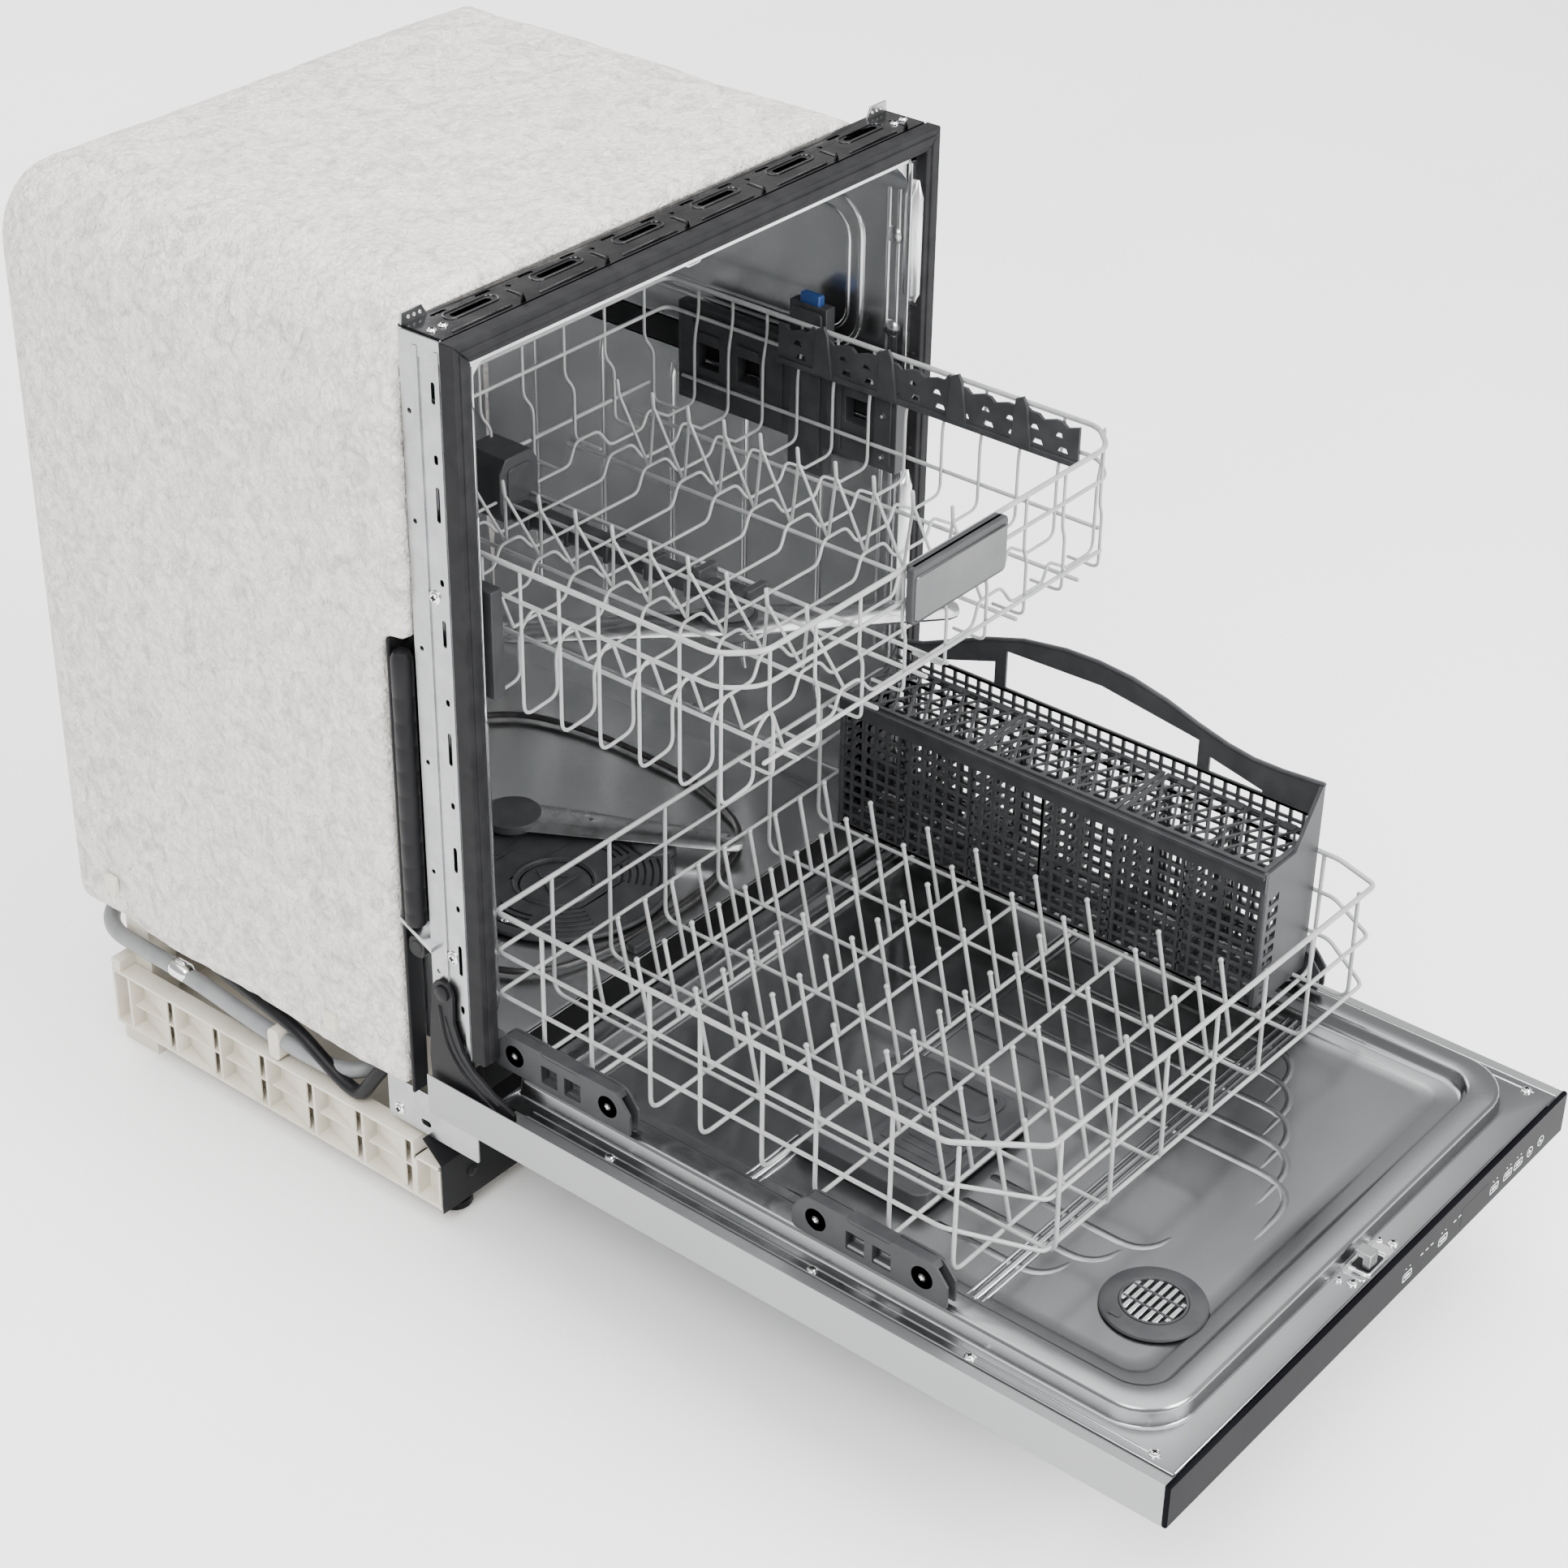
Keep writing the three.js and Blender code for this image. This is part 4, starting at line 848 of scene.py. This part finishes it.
for name, side in SIDES:
    refine(f"rack_adjuster_{name}", DARK_PLASTIC, 0.7)
    refine(f"adjuster_button_{name}", BLUE, 1.6, 3)
    refine(f"upper_rail_{name}", BLACK_PAINT, 1.6, 3)
    trim = Form()
    face = side * 250.2                               # the side of the plate that faces the rack
    for y0, y1, z0, z1 in ((-40, -22, 552, 636), (16, 32, 552, 636), (84, 104, 552, 636), (190, 205, 552, 636),
                           (112, 138, 612, 618), (160, 186, 612, 618), (112, 138, 568, 574), (160, 186, 568, 574)):
        trim.prism(rounded(y0, y1, z0, z1, 2, 3), "x", *sorted((face, face - side * 1.6)))
    trim.prism(rounded(40, 74, 524, 676, 4, 4), "x", *sorted((face, face - side * 2.6)))
    for z in (560, 600):
        trim.screw((face - side * 1.2, -31, z), "x", -side, 3)
    outer_face = side * 263
    for y0, y1 in ((-34, 2), (96, 204)):
        trim.prism(rounded(y0, y1, 552, 574, 3, 3), "x", *sorted((outer_face, outer_face + side * 0.7)))
    trim.make(f"adjuster_trim_{name}", "rack_carriage", DARK_PLASTIC, BRIGHT_STEEL, bevel=0.5)
    guide = Form()                                    # the fixed channel the rail runs in, and a stop in it
    for z0, z1 in ((582.6, 584.6), (613.4, 615.4)):
        guide.prism(rounded(-20, 460, z0, z1, 0.6, 2), "x", *span(side, 264.5, 278.6))
    guide.prism(rounded(350, 380, 584, 614, 3, 3), "x", *span(side, 276, 278.6))
    guide.make(f"rail_channel_{name}", "cabinet", TUB_STEEL, bevel=0.4)

shelf = Form()
(SY0, SY1), (SZ0, SZ1) = layout_box("cup_shelf")[1:]
teeth = [(SY0, SZ0), (SY1, SZ0)]
TEETH = 13
for k in range(TEETH, -1, -1):
    y = SY0 + (SY1 - SY0) * k / TEETH
    teeth += [(y, SZ1 - 8), (y - 8, SZ1 - 8), (y - 13, SZ1 - (1 if k % 3 == 0 else 12))] if k else [(y, SZ1 - 8)]
holes = []
for k in range(12):
    y = SY0 + 10 + (SY1 - SY0 - 16) * k / 12
    holes.append([(y, SZ0 + 8), (y + 12, SZ0 + 8), (y + 9, SZ0 + 14), (y + 3, SZ0 + 14)])
    holes.append([(y + 5, SZ0 + 21), (y + 15, SZ0 + 21), (y + 12, SZ0 + 26), (y + 8, SZ0 + 26)])
shelf.prism(teeth, "x", 241.6, 244.6, holes)
shelf.prism(rect(SY0, SY1, SZ0 - 0.4, SZ0 + 5), "x", 239.6, 245)
for y in (-196, -128, -52, 20):
    shelf.prism([(y, SZ0 + 2), (y + 22, SZ0 + 2), (y + 18, SZ1), (y + 10, SZ1 + 4), (y + 6, SZ1 - 4)], "x", 239, 242)
shelf.make("cup_shelf_lattice", "cup_shelf", DARK_PLASTIC, replaces=("cup_shelf",), bevel=0.4)

# ---------------------------------------------------------------- lower rack
(LX0, LX1), (LY0, LY1) = layout_box("lower_rack_floor")[:2]
L_LOW = layout_box("lower_rack_floor")[2][0] + 2.4
L_HIGH = layout_box("lower_rack_left")[2][1]
lx0, lx1, ly0, ly1 = LX0 + 2.6, LX1 - 2.6, LY0 + 3, LY1 - 2.6
lower = Form()
TINE_TOP, TINE_LEAN = 289, 16
for side_z, front_z, radius in ((L_HIGH - RIM, 327, RIM), (298, 275, WIRE), (255, 224, WIRE)):
    lower.tube(soften([(lx0, ly1, side_z), (lx0, ly0 + 62, side_z), (lx0 + 58, ly0 + 6, front_z),
                       (lx1, ly0, front_z), (lx1, ly0 + 36, side_z), (lx1, ly1, side_z)], 6, closed=True), radius,
               closed=True)
rows = (-84, -137, -201, -254, -318, -372, -445, -507)
for y in rows:
    lower.tube(soften([(lx0, y, L_HIGH - 2), (lx0, y, L_LOW), (lx1, y, L_LOW), (lx1, y, L_HIGH - 2)], 14, 5), WIRE)
for k in range(7):                                    # lengthwise wires, turned up at the front and the back
    x = -192 + 72 * k
    lower.tube(soften([(x, ly0 + 4, 327), (x, ly0 + 2, L_LOW + 2.4), (x, ly1, L_LOW + 2.4), (x, ly1, L_HIGH - 2)],
                      12, 5), WIRE)
for y in rows:
    for x in range(-185, 150, 35):
        lower.tube([(x, y, L_LOW), (x, y + TINE_LEAN, TINE_TOP)], WIRE, 8)
        lower.lathe([(0, -1.5), (2.3, -1), (2.6, 1), (1.7, 2.4), (0, 2.8)], (x, y + TINE_LEAN, TINE_TOP), count=8)
lower.make("lower_rack_wires", "lower_rack", NYLON, angle=60,
           replaces=rack_nodes("lower"))

HUB_Z = 213                                          # height of the discs on the carriers
for name, side in SIDES:
    for place in ("rear", "front"):
        node = f"wheel_carrier_{place}_{name}"
        (cx0, cx1), (cy0, cy1), (cz0, cz1) = layout_box(node)
        inside, outside = (cx0, cx1) if side > 0 else (cx1, cx0)
        middle = (cy0 + cy1) / 2
        outline = soften([(cy0, cz0, 0), (cy1, cz0, 0), (cy1, cz0 + 20, 0), (cy1 - 14, cz1, 0), (middle + 22, cz1, 0),
                          (middle + 20, cz1 - 4, 0), (middle - 20, cz1 - 4, 0), (middle - 22, cz1, 0),
                          (cy0 + 14, cz1, 0), (cy0, cz0 + 20, 0)], 7, 3)
        windows = [rounded(middle + d - 9, middle + d + 9, 201, 219, 1, 2) for d in (-13, 13)]
        carrier = Form()
        skin0, skin1 = sorted((outside, outside - side * 2.6))
        carrier.prism([(p.x, p.y) for p in outline], "x", skin0, skin1, windows)
        back0, back1 = sorted((inside, inside + side * 2.4))
        carrier.prism([(p.x, p.y) for p in outline], "x", back0, back1, windows)
        carrier.prism([(cy0 + 12, cz1 - 7), (cy1 - 12, cz1 - 7), (cy1 - 15, cz1 - 1), (cy0 + 15, cz1 - 1)], "x",
                      cx0 + 0.4, cx1 - 0.4)
        for y in (middle - 26, middle, middle + 26):
            carrier.box(cx0 + 0.4, cx1 - 0.4, y - 1.2, y + 1.2, cz0 + 3, cz1 - 5)
        for y in (cy0 + 24, cy1 - 24):
            carrier.prism(circle(y, HUB_Z, 10.5, 24), "x", *sorted((outside, outside - side * 1.2)))
            carrier.screw((outside - side * 1.7, y, HUB_Z), "x", side, 4)
        carrier.make(node + "_shell", "lower_rack", DARK_PLASTIC, BRIGHT_STEEL, replaces=(node,), bevel=0.6)
        for number in (1, 2):
            roller = f"rack_roller_{place}_{name}_{number}"
            (rx0, rx1), (ry0, ry1), (rz0, rz1) = layout_box(roller)
            radius, half = (rz1 - rz0) / 2, (rx1 - rx0) / 2
            wheel = Form()
            wheel.lathe([(0, -half + 1.6), (3.4, -half + 1.6), (3.6, -half), (5, -half), (5.4, -half + 1.4),
                         (radius - 3, -half + 1.4), (radius - 2.4, -half), (radius - 0.6, -half + 0.3),
                         (radius, -half + 1), (radius, half - 1), (radius - 0.6, half - 0.3), (radius - 2.4, half),
                         (radius - 3, half - 1.4), (5.4, half - 1.4), (5, half), (3.6, half), (3.4, half - 1.6),
                         (0, half - 1.6)], ((rx0 + rx1) / 2, (ry0 + ry1) / 2, (rz0 + rz1) / 2), "x", 32)
            for k in range(5):
                turn = 2 * pi * k / 5
                u, v = (ry0 + ry1) / 2 + 7 * cos(turn), (rz0 + rz1) / 2 + 7 * sin(turn)
                wheel.prism(circle(u, v, 1.3, 8), "x", rx0 + 0.8, rx1 - 0.8)
            wheel.make(roller + "_wheel", roller, DARK_PLASTIC, replaces=(roller,), angle=35)

# ---------------------------------------------------------------- cutlery basket
BX0, BX1, BY0, BY1, BZ0, BZ1 = 175, 258, -500, -50, 218, 355
WALL_T, BAR = 2.4, 3.2


def grid_lines(low, high, count, bar=BAR):
    """Grid lines that leave a bar, a window, a bar and so on, count windows in all."""
    step = (high - low - bar) / count
    lines = []
    for k in range(count):
        lines += [low + k * step, low + k * step + bar]
    return lines + [high - bar, high]


def window_grid(i, j):
    return i % 2 == 0 or j % 2 == 0


basket = Form()
us, vs = grid_lines(BY0, BY1, 34), grid_lines(BZ0, BZ1 - 16, 10, 2.6)
basket.lattice("x", BX0, BX0 + WALL_T, us, vs, window_grid)
basket.lattice("x", BX1 - WALL_T, BX1, us, grid_lines(BZ1 - 18.6, BZ1 + 17, 3, 2.6), window_grid)
basket.lattice("x", BX1 - WALL_T, BX1, us, vs, window_grid)
basket.lattice("z", BZ0, BZ0 + WALL_T, grid_lines(BX0, BX1, 8), us, window_grid)
for k in range(7):
    y = BY0 + (BY1 - BY0 - WALL_T) * k / 6
    basket.lattice("y", y, y + WALL_T, grid_lines(BX0, BX1, 6), grid_lines(BZ0, BZ1 - 16, 10), window_grid)
basket.prism(rect(BY0 - 1, BY1, BZ1 - 18, BZ1), "x", BX0 - 1, BX0 + 3)
basket.prism(rect(BY0, BY1, BZ1 - 4, BZ1 - 0.4), "x", BX0 - 4, BX0 + 2)
basket.prism([(BX0 + 3, BZ0), (BX1, BZ0), (BX1, 404), (BX1 - 4, 404), (BX1 - 38, BZ1), (BX0 + 3, BZ1)],
             "y", BY0 - 1, BY0 + WALL_T, [rounded(BX0 + 8, BX0 + 24, z, z + 8, 1, 2) for z in range(228, 330, 13)])
basket.prism([(BX0, BZ0), (BX1, BZ0), (BX1, 374), (BX1 - 20, BZ1), (BX0, BZ1)], "y", BY1 - WALL_T, BY1)
basket.tube([(BX0 + 3, BY0 + 2, BZ0 + 2), (BX0 + 3, BY0 + 2, BZ1 - 2)], 3.6, 12)
basket.tube([(BX0 + 3, BY1 - 2, BZ0 + 2), (BX0 + 3, BY1 - 2, BZ1 - 2)], 3.6, 12)
middle = (BY0 + BY1) / 2
arch = [(BY0, BZ1 + 14.4), (BY1, BZ1 + 14.4), (BY1, 376), (BY1 - 30, 384), (BY1 - 62, 398), (BY1 - 100, 415),
        (BY1 - 140, 428), (middle + 40, 435), (middle + 6, 436), (middle - 30, 433), (middle - 66, 425),
        (middle - 100, 414), (middle - 130, 406), (middle - 156, 402), (BY0 + 40, 402), (BY0, 405)]
SILL = BZ1 + 18
eyes = [[(middle + a, SILL), (middle + b, SILL), (middle + b, t1), (middle + (a + b) / 2, (t0 + t1) / 2 + bow),
         (middle + a, t0)] for a, b, t0, t1, bow in ((-168, -114, SILL + 3, 388, 0), (-102, 102, 400, 411, 9),
                                                    (114, 172, 396, SILL + 3, 0))]
basket.prism(arch, "x", BX1 - WALL_T, BX1, eyes)
basket.tube([(BX1 - WALL_T / 2, y, z) for y, z in arch[2:]], 2.2)
basket.make("cutlery_basket_grid", "lower_rack", DARK_PLASTIC, replaces=("cutlery_basket",), angle=30)

LID_PITCH, LID_LEAN = 16.5, 38                        # the lids' crossed strips
for number in (1, 2, 3):
    node = f"cutlery_lid_{number}"
    (x0, x1), (y0, y1), (z0, z1) = layout_box(node)
    lid = Form()
    lid.prism(rect(x0, x1, y0, y1), "z", z0, z0 + 2.4,
              [rect(x0 + 4, x1 - 4, y0 + 4, y1 - 4)])
    for k in range(1, int((y1 - y0 + LID_LEAN) / LID_PITCH) + 1):
        for way, rise in ((1, 0.2), (-1, 0.0)):
            a, b = (y0 + LID_PITCH * k - LID_LEAN, y0 + LID_PITCH * k)[::way]
            stops = sorted(((y0 + 3 - a) / (b - a), (y1 - 3 - a) / (b - a)))
            first, last = max(0.0, stops[0]), min(1.0, stops[1])
            if last - first < 0.1:
                continue
            (pu, pv), (qu, qv) = [(x0 + 3 + (x1 - x0 - 6) * t, a + (b - a) * t) for t in (first, last)]
            lid.prism([(pu, pv - 1.4), (pu, pv + 1.4), (qu, qv + 1.4), (qu, qv - 1.4)], "z", z0 + rise,
                      z0 + 2 + rise)
    for y in (y0 + 22, (y0 + y1) / 2, y1 - 22):
        lid.prism(rounded(x1 - 9, x1, y - 7, y + 7, 2, 3), "z", z0, z1)
    lid.make(node + "_lattice", node, DARK_PLASTIC, replaces=(node,), bevel=0.3)

# ---------------------------------------------------------------- door
refine("door_outer", DOOR_STEEL, 0.35)
LINER_HALF, HEEL, TIP, BORDER = 273, -62, -708, 173.2
rings = []
for inset, z, radius in ((-18, BORDER, 1), (-2.5, BORDER, 46), (-0.8, BORDER + 0.6, 46), (0, 175.2, 46),
                         (0.8, 186, 46),
                         (2, 189.2, 45), (4.5, 190.5, 43), (22, 190.5, 32), (24.4, 189.8, 31), (26, 187.4, 30),
                         (27.5, 181.4, 29), (29.5, 178.9, 28), (33, 178.2, 26), (44, 178.2, 22), (46, 177.4, 21),
                         (49, 176.6, 20), (60, 176.6, 16)):
    if inset == -18:
        outline = rounded(-291, 291, -733, HEEL + 2.5, (1, 1, 1, 1), 8)
    else:
        back = HEEL - inset if inset > 0 else HEEL
        heel_radius = max(8 - inset / 4, 3)
        outline = rounded(-LINER_HALF + inset, LINER_HALF - inset, TIP + inset, back,
                          (radius, radius, heel_radius, heel_radius), 8)
    rings.append([(x, y, z) for x, y in outline])
under = [[(x, y, z - 0.7) for x, y, z in ring] for ring in rings]
liner = Form()
liner.skin(rings[::-1] + under)
for y in (-289, -512):
    for dy, r in ((-7, 1.6), (0, 3.4), (7, 1.6)):
        liner.tube([(-234, y + dy, 176.2 + (0.8 if dy else 0)), (234, y + dy, 176.2 + (0.8 if dy else 0))], r, 10)
RIB_Z, RIB_RADIUS, RIB_SIDES = 168.6, 9, 24          # height, radius and sides of the stiffening ribs
for k in range(5):                                    # nested stiffening ribs towards the free end
    x, y = 40 + 38 * k, -548 - 22 * (4 - k)
    liner.tube(soften([(x, -302, RIB_Z), (x, y, RIB_Z), (x - 120, y - 6, RIB_Z - 1.5)], 40, 6), RIB_RADIUS, RIB_SIDES)
    if k > 1:
        liner.tube(soften([(-x + 10, -436, RIB_Z), (-x + 10, y + 10, RIB_Z), (-x + 60, y, RIB_Z - 1.5)], 40, 6),
                   RIB_RADIUS, RIB_SIDES)
for side in (-1, 1):
    liner.tube([(side * 291, -732, BORDER + 0.1), (side * 291, -92, BORDER + 0.1)], 0.8, 6)
    liner.tube([(side * 283, -716, BORDER), (side * 283, -92, BORDER)], 1.0, 6)
liner.tube([(-289, -732, BORDER), (289, -732, BORDER)], 1.0, 6)
liner.make("door_liner_drawn", "door", LINER_STEEL, replaces=("door_liner",), angle=50)

door_screws = Form()
for side in (-1, 1):
    for y in (-180, -393, -546, -710):
        door_screws.screw((side * (287 if y > -700 else 282), y, BORDER + 0.6), "z", 1, 3.6)
    for y in (-198, -420):
        door_screws.prism(circle(side * 284, y, 2.6, 12), "z", BORDER - 0.4, BORDER + 0.25, part=1)
for x in (-26, 36):
    door_screws.screw((x, -724, BORDER + 0.6), "z", 1, 3.4)
    door_screws.screw((x - 4, -714, BORDER + 0.6), "z", 1, 2.4)
# black paint as finish 1 is painted shade in the screws' cross recesses
door_screws.make("door_screws", "door", BRIGHT_STEEL, BLACK_PAINT)
latch = Form()
latch.prism(rounded(-20, 30, -730, -709, 4), "z", BORDER - 0.2, BORDER + 0.9, [rounded(-9, 16, -728, -711.5, 2)])
latch.tube([(u, v, BORDER + 1) for u, v in rounded(-12, 19, -729.5, -710, 3.4)], 1.3, closed=True)
latch.prism(rounded(-9, 16, -728, -711.5, 2), "z", BORDER - 0.6, BORDER + 0.1, part=1)
latch.make("latch_plate", "door", BRIGHT_STEEL, BLACK_PAINT, bevel=0.3)
refine("door_latch_hook", GALVANISED, 0.6)

vent = Form()
VX, VY = -152, -622
vent.lathe([(0, 177), (42, 177), (43, 178.6), (42, 180.4), (38, 181.8), (28, 182.2), (26.5, 181), (26, 178.4),
            (0, 178.2)], (VX, VY, 0), count=56)
vent.prism(circle(VX, VY, 27, 44), "z", 180.6, 182.6, [circle(VX, VY, 25.2, 44)])
for k in range(-3, 4):
    reach = (24.6 ** 2 - (7 * k) ** 2) ** 0.5
    vent.prism([(VY + 7 * k - 2, 179), (VY + 7 * k + 1.6, 179), (VY + 7 * k + 2.6, 181.6), (VY + 7 * k - 1, 181.6)],
               "x", VX - reach, VX + reach, part=1)
for u in (-8, 8):
    vent.box(VX + u - 1, VX + u + 1, VY - 23, VY + 23, 179, 182)
vent.prism(rounded(VX - 34, VX - 29, VY + 10, VY + 20, 1, 2), "z", 182, 183)
vent.make("door_vent", "door", DARK_PLASTIC, BRIGHT_STEEL, bevel=0.3)

refine("detergent_dispenser", DARK_PLASTIC, 1.6, 3)
DX0, DX1, DY0, DY1 = -186, -32, -423, -289
panel = Form()
rim = rounded(DX0 + 4, DX1 - 4, DY0 + 4, DY1 - 4, (12, 12, 26, 12), 5)
panel.tube([(u, v, 194.5) for u, v in rim], 1.6, closed=True)
panel.prism(rounded(-80, -40, -404, -318, 10, 5), "z", 195.2, 198.4, [rounded(-75, -45, -398, -330, 8, 5)])
panel.lathe([(0, 195.6), (11, 195.6), (11.6, 197), (10, 198.2), (3, 198.2), (2.4, 197.2), (0, 197.2)], (-60, -303, 0))
panel.prism(rounded(-172, -160, -404, -372, 3, 3), "z", 195.4, 197.6)
panel.make("dispenser_details", "door", DARK_PLASTIC, bevel=0.5)
refine("dispenser_lid", DARK_PLASTIC, 1.0, 3)
lid_ribs = Form()
for x in range(-148, -92, 9):
    lid_ribs.prism(rounded(x, x + 3.4, -406, -366, 1.4, 3), "z", 199.1, 200.3)
lid_ribs.prism(rounded(-146, -96, -360, -350, 2, 3), "z", 199.1, 200.6)
lid_ribs.make("dispenser_lid_ribs", "dispenser_lid", DARK_PLASTIC, bevel=0.4)

refine("control_panel", GLOSS_BLACK, 0.7, 3)
marks = Form()
FACE = layout_box("control_panel")[1][0]
PRINTED = ("y", FACE - 0.15, FACE + 0.3)
for x in (40, 97, 182, 205, 223):
    for u0, u1, v0, v1 in ((x - 7, x + 7, 141.5, 142.3), (x - 7, x + 7, 148.7, 149.5), (x - 7, x - 6.2, 141.5, 149.5),
                           (x + 6.2, x + 7, 141.5, 149.5), (x - 4, x + 4, 144.6, 146.4)):
        marks.prism(rect(u0, u1, v0, v1), *PRINTED)
    for k in (-1, 1):
        marks.prism(circle(x + 3 * k, 154, 0.7, 8), *PRINTED)
for x in (62, 70, 78, 115, 123):
    marks.prism(rect(x - 2, x + 2, 152.6, 153.5), *PRINTED)
for x in (243, 262):
    marks.prism(circle(x, 146, 5, 22), *PRINTED, [circle(x, 146, 4.3, 22)])
    marks.prism([(x - 1.4, 144), (x + 2.2, 146), (x - 1.4, 148)], *PRINTED)
marks.prism(rounded(126, 170, 138, 158, 1.5, 3), "y", FACE - 0.12, FACE + 0.3, part=1)
marks.make("panel_marks", "door", PRINT, GLOSS_BLACK)

# ---------------------------------------------------------------- floor
ground = bpy.data.meshes.new("ground")
ground.from_pydata([(-60, -60, 0), (60, -60, 0), (60, 60, 0), (-60, 60, 0)], [], [(0, 1, 2, 3)])
floor_piece = bpy.data.objects.new("ground", ground)
ground.materials.append(finish("floor_white", (0.93, 0.93, 0.93), (0.91, 0.91, 0.91), 0.7, mottle=3, bump=0.02))
bpy.context.scene.collection.objects.link(floor_piece)

back_sheet = frame["nodes"]["tub_back"].data           # the one CAD node that shows as it is
back_sheet.materials.clear()
back_sheet.materials.append(TUB_STEEL)
